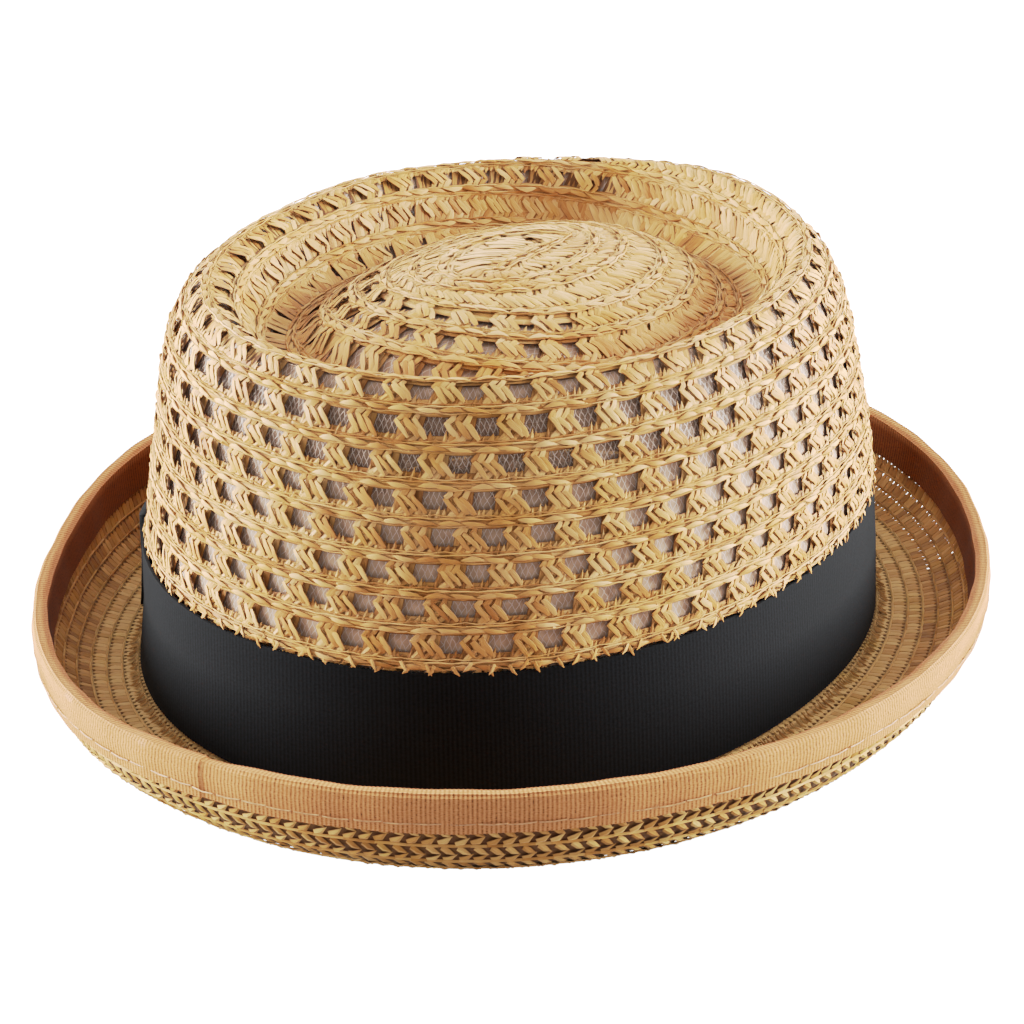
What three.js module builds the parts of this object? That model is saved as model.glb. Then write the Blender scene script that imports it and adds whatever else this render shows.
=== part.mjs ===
import * as THREE from "three";

// A straw pork pie hat: an openwork braid crown with a raised rim, a trench and an oval dome,
// a closed braid brim turned up all round, a net lining, a hat band with a flat side bow,
// and a ribbon binding folded over the brim's edge. Sizes are in millimetres.
// The hat stands on the flat ring of its brim. The back is +Y, the wearer's left is +X, and +Z is up.

// The head oval and its place, which puts the middle of the whole hat over the origin
const OVAL_POWER = 2.1;
const HEAD_CENTRE = { x: 4.31, y: -2.78 };

// The columns that every shell is built on: a narrow one that can hold a window, then a wide one
const COLUMN_PAIRS = 24;
const NARROW_SHARE = 0.34;
const WINDOW_EVERY = 2;

// Walls and gaps
const STRAW_WALL = 2.0;
const NET_WALL = 1.0;
const RIBBON_WALL = 1.0;
const GAP = 0.3;

// Crown braid rows, from the ridge at the middle of the dome out to the ridge over the band.
// halfWidth is across the head, extraLength is what the half length adds to it, and windows
// says whether the stretch outside the ridge is pierced.
const CROWN_ROWS = [
  { halfWidth: 6.2, extraLength: 15.0, height: 96.7, windows: false, stepped: false },
  { halfWidth: 13.3, extraLength: 15.0, height: 96.1, windows: false, stepped: true },
  { halfWidth: 21.3, extraLength: 15.0, height: 94.9, windows: false, stepped: true },
  { halfWidth: 29.3, extraLength: 15.0, height: 92.8, windows: false, stepped: true },
  { halfWidth: 36.9, extraLength: 15.0, height: 90.0, windows: false, stepped: true },
  { halfWidth: 43.5, extraLength: 15.0, height: 85.4, windows: false, stepped: true },
  { halfWidth: 50.5, extraLength: 15.0, height: 82.2, windows: false, stepped: false },
  { halfWidth: 56.6, extraLength: 14.9, height: 87.2, windows: true, stepped: true },
  { halfWidth: 60.3, extraLength: 14.8, height: 94.6, windows: false, stepped: true },
  { halfWidth: 66.2, extraLength: 14.6, height: 98.4, windows: true, stepped: true },
  { halfWidth: 71.2, extraLength: 14.3, height: 93.4, windows: true, stepped: true },
  { halfWidth: 75.0, extraLength: 14.1, height: 86.0, windows: true, stepped: true },
  { halfWidth: 77.4, extraLength: 14.0, height: 78.2, windows: true, stepped: true },
  { halfWidth: 79.1, extraLength: 14.2, height: 70.2, windows: true, stepped: true },
  { halfWidth: 80.6, extraLength: 14.6, height: 62.2, windows: true, stepped: true },
  { halfWidth: 82.0, extraLength: 15.3, height: 54.3, windows: true, stepped: true },
  { halfWidth: 82.9, extraLength: 16.2, height: 46.4, windows: true, stepped: true },
  { halfWidth: 83.5, extraLength: 17.2, height: 38.1, windows: false, stepped: false },
];
const CROWN_FOOT = [
  { halfWidth: 82.7, extraLength: 17.5, height: 36.8 },
  { halfWidth: 85.3, extraLength: 15.9, height: 2.3 },
];
const DOME_TOP = 96.8;
const RIDGE_RISE = 0.7;
const STEP_DROP = -0.6;
const WINDOW_START = 0.17;
const WINDOW_END = 0.73;

// Net lining, as the crown rows that it follows
const NET_ROWS = [5, 6, 7, 9, 11, 17];
const NET_FOOT = { halfWidth: 85.1, extraLength: 15.9, height: 2.9 };
const NET_GAP = 0.5;

// Hat band
const BAND_EDGES = [
  { halfWidth: 84.2, extraLength: 17.5, height: 36.5 },
  { halfWidth: 86.6, extraLength: 15.9, height: 2.4 },
];

// Brim: how far it goes out and how high its edge turns up, with the lean of both round the hat
const BRIM_OVAL = { halfWidth: 86.6, extraLength: 15.9 };
const BRIM_REACH = { mean: 28.9, left: -4.2, back: 2.6, diagonal: -3.9 };
const BRIM_RISE = { mean: 26.3, left: 2.5, back: -0.9, diagonal: -5.0 };
const BRIM_CURVE = 3.2;
const BRIM_WALL = 1.8;
const BRIM_INSIDE = -3.3;
const BRIM_FLAT = 6;
const BRIM_STATIONS = [20, 38, 54];

// Brim binding: the depth of its two legs
const BINDING_OUTSIDE = 10.5;
const BINDING_INSIDE = 12;

// Side bow and its knot, by distance along the band and height over the floor
const BOW_ANGLE = 12;
const BOW_SHAPE = [
  { along: -36, low: 13.2, high: 35.6, depth: 1.6 },
  { along: -30, low: 13.0, high: 35.8, depth: 2.4 },
  { along: -18, low: 14.2, high: 34.8, depth: 2.6 },
  { along: -7, low: 16.6, high: 32.6, depth: 1.8 },
  { along: 7, low: 16.6, high: 32.6, depth: 1.8 },
  { along: 18, low: 14.2, high: 34.8, depth: 2.6 },
  { along: 30, low: 13.0, high: 35.8, depth: 2.4 },
  { along: 36, low: 13.2, high: 35.6, depth: 1.6 },
];
const KNOT_HALF_WIDTH = 6.5;
const KNOT_PATH = [
  { height: 4.0, lift: 0 },
  { height: 13.5, lift: 0 },
  { height: 16.2, lift: 2.1 },
  { height: 33.0, lift: 2.1 },
  { height: 35.9, lift: 0.2 },
];

// The angles of the columns, with the narrow one's middle on each pair's start
function columnAngles() {
  const step = (2 * Math.PI) / COLUMN_PAIRS;
  const angles = [];
  for (let pair = 0; pair < COLUMN_PAIRS; pair += 1) {
    angles.push(step * (pair - NARROW_SHARE / 2));
    angles.push(step * (pair + NARROW_SHARE / 2));
  }
  return angles;
}
const COLUMNS = columnAngles();

// A point on the head oval of the given half sizes, moved out along the oval's own normal
function ovalPoint(halfWidth, halfLength, angle, height, out = 0) {
  const c = Math.cos(angle);
  const s = Math.sin(angle);
  const p = OVAL_POWER;
  const reach = (Math.abs(c) ** p + Math.abs(s) ** p) ** (-1 / p);
  const x = c * reach;
  const y = s * reach;
  const nx = (Math.sign(x) * Math.abs(x) ** (p - 1)) / halfWidth;
  const ny = (Math.sign(y) * Math.abs(y) ** (p - 1)) / halfLength;
  const n = Math.hypot(nx, ny) || 1;
  return new THREE.Vector3(
    HEAD_CENTRE.x + x * halfWidth + (out * nx) / n,
    HEAD_CENTRE.y + y * halfLength + (out * ny) / n,
    height,
  );
}

// A closed ring of points, one for each column
function ring({ halfWidth, extraLength, height }) {
  return COLUMNS.map((angle) => ovalPoint(halfWidth, halfWidth + extraLength, angle, height));
}

// Geometry from a list of triangles, each of three points
function geometryOf(triangles) {
  const geometry = new THREE.BufferGeometry().setFromPoints(triangles.flat());
  geometry.computeVertexNormals();
  return geometry;
}

// Two triangles over four corners in order
function quad(a, b, c, d) {
  return [
    [a, b, c],
    [a, c, d],
  ];
}

// The strip between two rings, without the columns that open lists
function strip(upper, lower, open = []) {
  const triangles = [];
  for (let i = 0; i < upper.length; i += 1) {
    const j = (i + 1) % upper.length;
    if (!open.includes(i)) triangles.push(...quad(upper[i], lower[i], lower[j], upper[j]));
  }
  return triangles;
}

// The fan that closes a ring at a point, seen from the side that the ring runs round anticlockwise
function fan(centre, points) {
  return points.map((point, i) => [centre, point, points[(i + 1) % points.length]]);
}

// A ring-shaped body from rings that go once round its section
function hoop(rings) {
  return rings.flatMap((points, i) => strip(points, rings[(i + 1) % rings.length]));
}

// The crown's own curve from the dome's middle to the foot, as half width, extra length, height
const CROWN_CURVE = new THREE.CatmullRomCurve3(
  [...CROWN_ROWS, CROWN_FOOT[0]].map((r) => new THREE.Vector3(r.halfWidth, r.extraLength, r.height)),
  false,
  "centripetal",
);

// A station on the crown's curve, a share of the way past a row's ridge, raised along the normal
function crownStation(row, share, rise) {
  const t = (row + share) / CROWN_ROWS.length;
  const at = CROWN_CURVE.getPoint(t);
  const along = CROWN_CURVE.getTangent(t);
  const size = Math.hypot(along.x, along.z);
  return {
    halfWidth: at.x - (rise * along.z) / size,
    extraLength: at.y,
    height: at.z + (rise * along.x) / size,
  };
}

// The columns of a row that hold windows, which alternate from row to row
function windowColumns(row) {
  const open = [];
  for (let pair = row % WINDOW_EVERY; pair < COLUMN_PAIRS; pair += WINDOW_EVERY) open.push(2 * pair);
  return open;
}

// The four walls of a window between the outer strip and the inner strip
function windowWalls(outerTop, outerLow, innerTop, innerLow, i) {
  const j = (i + 1) % outerTop.length;
  return [
    ...quad(outerTop[j], outerTop[i], innerTop[i], innerTop[j]),
    ...quad(outerLow[j], outerTop[j], innerTop[j], innerLow[j]),
    ...quad(outerLow[i], outerLow[j], innerLow[j], innerLow[i]),
    ...quad(outerTop[i], outerLow[i], innerLow[i], innerTop[i]),
  ];
}

// Crown: the stepped outer face, the plain inner face, the foot between them, and the windows
function crownGeometry() {
  const outer = [];
  const inner = [];
  const openOuter = new Map();
  const openInner = new Map();
  CROWN_ROWS.forEach((row, i) => {
    outer.push(ring(crownStation(i, 0, RIDGE_RISE)));
    if (row.windows) {
      openOuter.set(outer.length, i);
      outer.push(ring(crownStation(i, WINDOW_START, STEP_DROP)));
      outer.push(ring(crownStation(i, WINDOW_END, 0)));
      openInner.set(inner.length, i);
      inner.push(ring(crownStation(i, WINDOW_START, -STRAW_WALL)));
      inner.push(ring(crownStation(i, WINDOW_END, -STRAW_WALL)));
    } else {
      if (row.stepped) outer.push(ring(crownStation(i, WINDOW_START, STEP_DROP)));
      inner.push(ring(crownStation(i, 0, -STRAW_WALL)));
    }
  });
  outer.push(...CROWN_FOOT.map(ring));
  const foot = CROWN_FOOT.at(-1);
  inner.push(ring({ ...foot, halfWidth: foot.halfWidth - STRAW_WALL }));

  const triangles = fan(new THREE.Vector3(HEAD_CENTRE.x, HEAD_CENTRE.y, DOME_TOP + RIDGE_RISE), outer[0]);
  for (let k = 0; k + 1 < outer.length; k += 1) {
    const open = openOuter.has(k) ? windowColumns(openOuter.get(k)) : [];
    triangles.push(...strip(outer[k], outer[k + 1], open));
  }
  triangles.push(...strip(outer.at(-1), inner.at(-1)));
  for (let k = inner.length - 1; k > 0; k -= 1) {
    const open = openInner.has(k - 1) ? windowColumns(openInner.get(k - 1)) : [];
    triangles.push(...strip(inner[k], inner[k - 1], open));
  }
  const centre = new THREE.Vector3(HEAD_CENTRE.x, HEAD_CENTRE.y, DOME_TOP - STRAW_WALL);
  triangles.push(...fan(centre, inner[0].toReversed()));

  const innerOf = new Map([...openInner].map(([k, row]) => [row, k]));
  for (const [k, row] of openOuter) {
    const m = innerOf.get(row);
    for (const i of windowColumns(row)) {
      triangles.push(...windowWalls(outer[k], outer[k + 1], inner[m], inner[m + 1], i));
    }
  }
  return geometryOf(triangles);
}

// Net lining: a thin shell that follows the crown's inner face
function netGeometry() {
  const depth = STRAW_WALL + NET_GAP;
  const outer = NET_ROWS.map((row) => ring(crownStation(row, 0, -depth)));
  const inner = NET_ROWS.map((row) => ring(crownStation(row, 0, -depth - NET_WALL)));
  outer.push(ring({ ...NET_FOOT, halfWidth: NET_FOOT.halfWidth - depth }));
  inner.push(ring({ ...NET_FOOT, halfWidth: NET_FOOT.halfWidth - depth - NET_WALL }));
  const middle = new THREE.Vector3(HEAD_CENTRE.x, HEAD_CENTRE.y, DOME_TOP - depth);
  const triangles = fan(middle, outer[0]);
  for (let k = 0; k + 1 < outer.length; k += 1) triangles.push(...strip(outer[k], outer[k + 1]));
  triangles.push(...strip(outer.at(-1), inner.at(-1)));
  for (let k = inner.length - 1; k > 0; k -= 1) triangles.push(...strip(inner[k], inner[k - 1]));
  const under = middle.clone().setZ(middle.z - NET_WALL);
  triangles.push(...fan(under, inner[0].toReversed()));
  return geometryOf(triangles);
}

// Hat band: a plain ring of ribbon
function bandGeometry() {
  const outer = BAND_EDGES.map(ring);
  const inner = BAND_EDGES.map((edge) => ring({ ...edge, halfWidth: edge.halfWidth - RIBBON_WALL }));
  return geometryOf(hoop([outer[0], outer[1], inner[1], inner[0]]));
}

// A size of the brim at an angle round the hat
function leaning(size, angle) {
  return (
    size.mean +
    size.left * Math.cos(angle) +
    size.back * Math.sin(angle) +
    size.diagonal * Math.sin(2 * angle)
  );
}

// The brim's underside at a station, 0 at the flat and 90 degrees at the edge: its place and normal
function brimStation(angle, station) {
  const reach = leaning(BRIM_REACH, angle);
  const rise = leaning(BRIM_RISE, angle);
  const c = Math.max(Math.cos(station), 1e-9);
  const s = Math.max(Math.sin(station), 1e-9);
  const power = 2 / BRIM_CURVE;
  const dOut = reach * power * s ** (power - 1) * c;
  const dUp = rise * power * c ** (power - 1) * s;
  const size = Math.hypot(dOut, dUp);
  return {
    out: reach * s ** power,
    up: rise * (1 - c ** power),
    normal: { out: -dUp / size, up: dOut / size },
  };
}

// A point over the brim's underside by lift, measured along the brim's own normal
function brimPoint(angle, station, lift) {
  const at = brimStation(angle, station);
  const { halfWidth, extraLength } = BRIM_OVAL;
  const out = at.out + lift * at.normal.out;
  return ovalPoint(halfWidth, halfWidth + extraLength, angle, at.up + lift * at.normal.up, out);
}

// A point on the brim's flat ring
function flatPoint(angle, out, height) {
  const { halfWidth, extraLength } = BRIM_OVAL;
  return ovalPoint(halfWidth, halfWidth + extraLength, angle, height, out);
}

// The station that lies a given depth under the brim's edge
function stationUnderEdge(angle, depth) {
  const share = depth / leaning(BRIM_RISE, angle);
  return Math.acos(share ** (BRIM_CURVE / 2));
}

// A ring of the brim or its binding, a given depth under the edge
function edgeRing(depth, lift, over = 0) {
  return COLUMNS.map((angle) => {
    const point = brimPoint(angle, stationUnderEdge(angle, depth), lift);
    return point.add(new THREE.Vector3(0, 0, over));
  });
}

// Brim: the flat ring, the curve up to the edge, and the same curve back on its upper face
function brimGeometry() {
  const curve = (lift) => [
    ...BRIM_STATIONS.map(THREE.MathUtils.degToRad).map((station) =>
      COLUMNS.map((angle) => brimPoint(angle, station, lift)),
    ),
    ...[BINDING_INSIDE, BINDING_INSIDE / 2, 0].map((depth) => edgeRing(depth, lift)),
  ];
  const rings = [
    COLUMNS.map((angle) => flatPoint(angle, BRIM_INSIDE, BRIM_WALL)),
    COLUMNS.map((angle) => flatPoint(angle, BRIM_INSIDE, 0)),
    COLUMNS.map((angle) => flatPoint(angle, BRIM_FLAT, 0)),
    ...curve(0),
    ...curve(BRIM_WALL).toReversed(),
  ];
  return geometryOf(hoop(rings.toReversed()));
}

// Brim binding: a ribbon folded over the edge, with a leg outside and a leg inside
function bindingGeometry() {
  const near = -GAP;
  const far = near - RIBBON_WALL;
  const insideNear = BRIM_WALL + GAP;
  const insideFar = insideNear + RIBBON_WALL;
  const rings = [
    edgeRing(BINDING_OUTSIDE, near),
    edgeRing(BINDING_OUTSIDE, far),
    edgeRing(BINDING_OUTSIDE / 2, far),
    edgeRing(0, far, GAP),
    edgeRing(0, BRIM_WALL / 2, GAP + RIBBON_WALL),
    edgeRing(0, insideFar, GAP),
    edgeRing(BINDING_INSIDE / 2, insideFar),
    edgeRing(BINDING_INSIDE, insideFar),
    edgeRing(BINDING_INSIDE, insideNear),
    edgeRing(BINDING_INSIDE / 2, insideNear),
    edgeRing(0, insideNear, GAP),
    edgeRing(0, near, GAP),
    edgeRing(BINDING_OUTSIDE / 2, near),
  ];
  return geometryOf(hoop(rings.toReversed()));
}

// A point a given distance along the band from the bow's middle, at a height, lifted off the band
function bandPoint(along, height, lift) {
  const [top, foot] = BAND_EDGES;
  const share = (top.height - height) / (top.height - foot.height);
  const halfWidth = THREE.MathUtils.lerp(top.halfWidth, foot.halfWidth, share);
  const extra = THREE.MathUtils.lerp(top.extraLength, foot.extraLength, share);
  let angle = THREE.MathUtils.degToRad(BOW_ANGLE);
  const steps = Math.max(1, Math.ceil(Math.abs(along)));
  for (let i = 0; i < steps; i += 1) {
    const here = ovalPoint(halfWidth, halfWidth + extra, angle, 0);
    const next = ovalPoint(halfWidth, halfWidth + extra, angle + 0.01, 0);
    angle += ((along / steps) * 0.01) / here.distanceTo(next);
  }
  return ovalPoint(halfWidth, halfWidth + extra, angle, height, lift);
}

// A bar from cross sections of four corners, closed at both ends
function bar(sections) {
  const triangles = [];
  for (let k = 0; k + 1 < sections.length; k += 1) {
    for (let i = 0; i < 4; i += 1) {
      const j = (i + 1) % 4;
      triangles.push(...quad(sections[k][i], sections[k][j], sections[k + 1][j], sections[k + 1][i]));
    }
  }
  const first = sections[0];
  const last = sections.at(-1);
  triangles.push(...quad(first[3], first[2], first[1], first[0]));
  triangles.push(...quad(last[0], last[1], last[2], last[3]));
  return triangles;
}

// Side bow: two flat loops in one piece, waisted at the knot
function bowGeometry() {
  return geometryOf(
    bar(
      BOW_SHAPE.map(({ along, low, high, depth }) => [
        bandPoint(along, low, GAP),
        bandPoint(along, high, GAP),
        bandPoint(along, high, GAP + depth),
        bandPoint(along, low, GAP + depth),
      ]),
    ),
  );
}

// Bow knot: a strap over the bow's waist that lies on the band above and below it
function knotGeometry() {
  return geometryOf(
    bar(
      KNOT_PATH.map(({ height, lift }) => [
        bandPoint(-KNOT_HALF_WIDTH, height, GAP + lift),
        bandPoint(-KNOT_HALF_WIDTH, height, GAP + lift + RIBBON_WALL),
        bandPoint(KNOT_HALF_WIDTH, height, GAP + lift + RIBBON_WALL),
        bandPoint(KNOT_HALF_WIDTH, height, GAP + lift),
      ]),
    ),
  );
}

// Materials
const straw = { color: 0xd3b27c, roughness: 0.75 };
const net = { color: 0xc8bcc0, roughness: 0.9 };
const blackRibbon = { color: 0x141518, roughness: 0.7 };
const tanRibbon = { color: 0xcf9f70, roughness: 0.75 };

function piece(name, geometry, look) {
  const mesh = new THREE.Mesh(geometry, new THREE.MeshStandardMaterial(look));
  mesh.name = name;
  return mesh;
}

const group = new THREE.Group();
group.name = "straw_pork_pie_hat";
group.add(
  piece("crown", crownGeometry(), straw),
  piece("net_lining", netGeometry(), net),
  piece("brim", brimGeometry(), straw),
  piece("brim_binding", bindingGeometry(), tanRibbon),
  piece("hat_band", bandGeometry(), blackRibbon),
  piece("band_bow", bowGeometry(), blackRibbon),
  piece("bow_knot", knotGeometry(), blackRibbon),
);

export default group;
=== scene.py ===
import math
import bmesh
import bpy
import mathutils
import numpy as np
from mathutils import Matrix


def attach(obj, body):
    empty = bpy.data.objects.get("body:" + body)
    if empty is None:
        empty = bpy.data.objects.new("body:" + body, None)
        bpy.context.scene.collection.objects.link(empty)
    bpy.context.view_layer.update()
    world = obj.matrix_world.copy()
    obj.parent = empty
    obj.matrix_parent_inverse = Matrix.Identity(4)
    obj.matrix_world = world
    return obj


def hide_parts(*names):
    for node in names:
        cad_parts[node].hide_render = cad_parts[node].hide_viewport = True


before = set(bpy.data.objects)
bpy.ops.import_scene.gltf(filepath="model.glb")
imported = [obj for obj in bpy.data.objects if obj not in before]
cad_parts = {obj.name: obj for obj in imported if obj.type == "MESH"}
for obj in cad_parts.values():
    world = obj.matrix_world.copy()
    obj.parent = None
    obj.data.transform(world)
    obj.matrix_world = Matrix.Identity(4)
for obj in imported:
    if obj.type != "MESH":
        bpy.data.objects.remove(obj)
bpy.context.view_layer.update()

# CROWN STRAW
# The crown is one long openwork braid of split paper straw. It is wound outwards from a short slit
# in the middle of the tip, each turn lapped over the next and sewn to it, and then pressed on a
# block, which gives the domed tip, the trench round it, the raised rim and the nearly upright side.

MM = 0.001
HEAD_CENTRE = np.array([4.31, -2.78])
OVAL_POWER = 2.1

# Half width, extra half length and height of the pressed crown, from the middle of the tip
# outwards. Row 6 is the trench, row 9 the rim's crest, row 17 the last turn above the band.
CROWN_PROFILE = np.array([
    (6.2, 15.0, 96.7), (13.3, 15.0, 96.1), (21.3, 15.0, 94.9), (29.3, 15.0, 92.8),
    (36.9, 15.0, 90.0), (43.5, 15.0, 85.4), (50.5, 15.0, 82.2), (56.6, 14.9, 87.2),
    (60.3, 14.8, 94.6), (66.2, 14.6, 98.4), (71.2, 14.3, 93.4), (75.0, 14.1, 86.0),
    (77.4, 14.0, 78.2), (79.1, 14.2, 70.2), (80.6, 14.6, 62.2), (82.0, 15.3, 54.3),
    (82.9, 16.2, 46.4), (83.5, 17.2, 38.1), (81.9, 17.2, 30.5), (82.5, 16.8, 23.5),
    (83.1, 16.4, 16.5), (83.7, 16.0, 9.5), (84.2, 15.9, 2.8), (84.3, 15.9, 2.0)])
TRENCH_ROW = 6

# The braid's first turns lie off centre on the tip: half width, half length and shift of each.
TIP_TURNS = np.array([
    (0.4, 15.0, 0.8, -9.0), (15.2, 24.7, 4.9, -8.4), (22.2, 31.7, 5.9, -9.4),
    (31.8, 38.5, 3.2, -8.5), (39.0, 46.3, 2.0, -6.8), (45.3, 54.1, 0.8, -5.4)])

# Where turns 5 to 8 run on the profile at the sides, at the back and at the front of the hat.
TRENCH_TURNS = {"side": (5.95, 7.0, 8.0, 9.0), "back": (5.2, 6.35, 7.65, 9.0),
                "front": (5.7, 6.85, 8.0, 9.0)}

# A turn runs once round the hat between these bearings, in degrees, and climbs to the next one over
# a stretch of the far side. Lengths are measured no further in than the innermost turn.
ROUND = (-10, 350)
STEP_START, STEP_END = 240.0, 350.0
FIRST_TURN, LAST_TURN, INNERMOST = -2.2, 20.8, -0.7


def oval(half_width, half_length, angle):
    """The head's oval, a slightly squared ellipse, in millimetres about its own centre."""
    c, s = np.cos(angle), np.sin(angle)
    reach = (np.abs(c) ** OVAL_POWER + np.abs(s) ** OVAL_POWER) ** (-1 / OVAL_POWER)
    return half_width * c * reach, half_length * s * reach


def crown_profile(row):
    """Half width, extra length and height at any place on the pressed profile."""
    row = np.clip(row, 0, len(CROWN_PROFILE) - 1.001)
    start = np.floor(row).astype(int)
    f = (row - start)[..., None]
    last = len(CROWN_PROFILE) - 1
    a, b, c, d = (CROWN_PROFILE[np.clip(start + k, 0, last)] for k in (-1, 0, 1, 2))
    return 0.5 * (2 * b + (c - a) * f + (2 * a - 5 * b + 4 * c - d) * f ** 2
                  + (3 * b - a - 3 * c + d) * f ** 3)


def tip_height(x, y):
    """Height of the domed tip above a point, both about the head's centre."""
    low, high = np.full_like(x, 0.01), np.full_like(x, 75.0)
    for _ in range(30):
        middle = (low + high) / 2
        outside = (np.abs(x) / middle) ** OVAL_POWER + (np.abs(y) / (middle + 15)) ** OVAL_POWER > 1
        low, high = np.where(outside, middle, low), np.where(outside, high, middle)
    rows = np.linspace(0, TRENCH_ROW, 200)
    table = crown_profile(rows)
    return np.interp(low, np.r_[0, table[:, 0]], np.r_[96.8, table[:, 2]])


def hump(angle, at, wide):
    """A smooth hump of height 1 at a bearing round the hat, with a width in degrees."""
    return np.exp(-(((np.degrees(angle) - at + 180) % 360 - 180) / wide) ** 2)


def side_dip(angle):
    """Where the crown's foot is a little pinched, on the wearer's left."""
    return hump(angle, 50, 38)


def crown_point(turn, angle):
    """A point of the crown in millimetres, from the braid's turn and the angle round the head."""
    turn, angle = np.broadcast_arrays(np.asarray(turn, float), np.asarray(angle, float))
    turn = np.maximum(turn, -1.0)
    back, front = np.maximum(np.sin(angle), 0) ** 2, np.maximum(-np.sin(angle), 0) ** 2
    row = turn + 1
    places = {k: np.interp(turn, (5, 6, 7, 8), v) for k, v in TRENCH_TURNS.items()}
    pressed = (places["side"] + (places["back"] - places["side"]) * back
               + (places["front"] - places["side"]) * front)
    row = np.where(turn < 8, pressed, row)
    half_width, extra, height = np.moveaxis(crown_profile(row), -1, 0)
    x, y = oval(half_width, half_width + extra, angle)
    ring = np.clip(turn, -1, 4)
    a, b, cx, cy = (np.interp(ring, np.arange(-1, 5), TIP_TURNS[:, k]) for k in range(4))
    tip_x, tip_y = oval(a, b, angle)
    share = np.clip(turn - 4, 0, 1)
    plan_x = (tip_x + cx) * (1 - share) + x * share
    plan_y = (tip_y + cy) * (1 - share) + y * share
    on_tip = turn < 5
    height = np.where(on_tip, tip_height(plan_x, plan_y), height)
    x, y = np.where(on_tip, plan_x, x), np.where(on_tip, plan_y, y)
    # The rim bulges on the wearer's left, and the crest is a little higher in two places.
    rim_out = 3.0 * hump(angle, 18, 34) * np.exp(-((turn - 9.8) / 3.6) ** 2)
    for at, wide, lift in ((346, 16, 1.2), (264, 20, 1.3)):
        height = height + lift * hump(angle, at, wide) * np.exp(-((turn - 8.5) / 2) ** 2)
    foot_in = side_dip(angle) * np.interp(turn, (9.5, 13, 15, 17), (0, 1.1, 1.5, 1.5))
    outwards = (rim_out - foot_in) * np.clip((turn - 5.5) / 1.5, 0, 1)
    swell = 1 + outwards / np.maximum(np.hypot(x, y), 1)
    x, y = x * swell, y * swell
    return np.stack([x + HEAD_CENTRE[0], y + HEAD_CENTRE[1], height], -1)


def turn_step(angle):
    """How far a turn has climbed towards the next one at an angle, from 0 to 1."""
    share = np.clip((angle - math.radians(STEP_START)) / math.radians(STEP_END - STEP_START), 0, 1)
    return share * share * (3 - 2 * share)


def round_shares(point_of, turn, samples=721):
    """Angle and share of the way round at equal steps, measured along one turn."""
    angles = np.radians(np.linspace(*ROUND, samples))
    points = point_of(turn, angles)
    lengths = np.r_[0, np.cumsum(np.linalg.norm(np.diff(points, axis=0), axis=1))]
    return angles, lengths / lengths[-1], lengths[-1]


def mesh_object(name, points, faces, smooth=True):
    """A new object in the scene from points in metres and faces."""
    mesh = bpy.data.meshes.new(name)
    mesh.from_pydata([tuple(p) for p in np.asarray(points, float)], [], [tuple(f) for f in faces])
    mesh.update()
    mesh.shade_smooth() if smooth else mesh.shade_flat()
    made = bpy.data.objects.new(name, mesh)
    bpy.context.scene.collection.objects.link(made)
    return made


def store(made, name, values, kind="FLOAT"):
    """Keeps a value for each point of an object, of the kind FLOAT, INT or FLOAT_VECTOR."""
    values = np.asarray(values, np.int32 if kind == "INT" else np.float32).reshape(-1)
    made.data.attributes.new(name, kind, "POINT").data.foreach_set(
        "vector" if kind == "FLOAT_VECTOR" else "value", values)


def form_object(name, points):
    """A hidden form that flat work is laid on: a net of points [down][round] with its outward
    directions, and a flat map of its own from 0 to 1 both ways."""
    rows, columns = points.shape[:2]
    along = np.gradient(points, axis=1)
    down = np.gradient(points, axis=0)
    outward = np.cross(down, along)
    size = np.linalg.norm(outward, axis=2, keepdims=True)
    outward = np.where(size > 1e-9, outward / np.maximum(size, 1e-12), (0, 0, 1))
    k = np.arange(rows * columns).reshape(rows, columns)
    faces = np.stack([k[:-1, :-1], k[1:, :-1], k[1:, 1:], k[:-1, 1:]], -1).reshape(-1, 4)
    made = mesh_object(name, points.reshape(-1, 3) * MM, faces)
    store(made, "out", outward, "FLOAT_VECTOR")
    flat = np.stack(np.meshgrid(np.linspace(0, 1, columns), np.linspace(0, 1, rows)), -1)
    flat = flat.reshape(-1, 2)
    loops = np.empty(len(made.data.loops), np.int32)
    made.data.loops.foreach_get("vertex_index", loops)
    layer = made.data.uv_layers.new(name="flat")
    layer.data.foreach_set("uv", flat[loops].reshape(-1).astype(np.float32))
    made.hide_render = True
    return made


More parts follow.
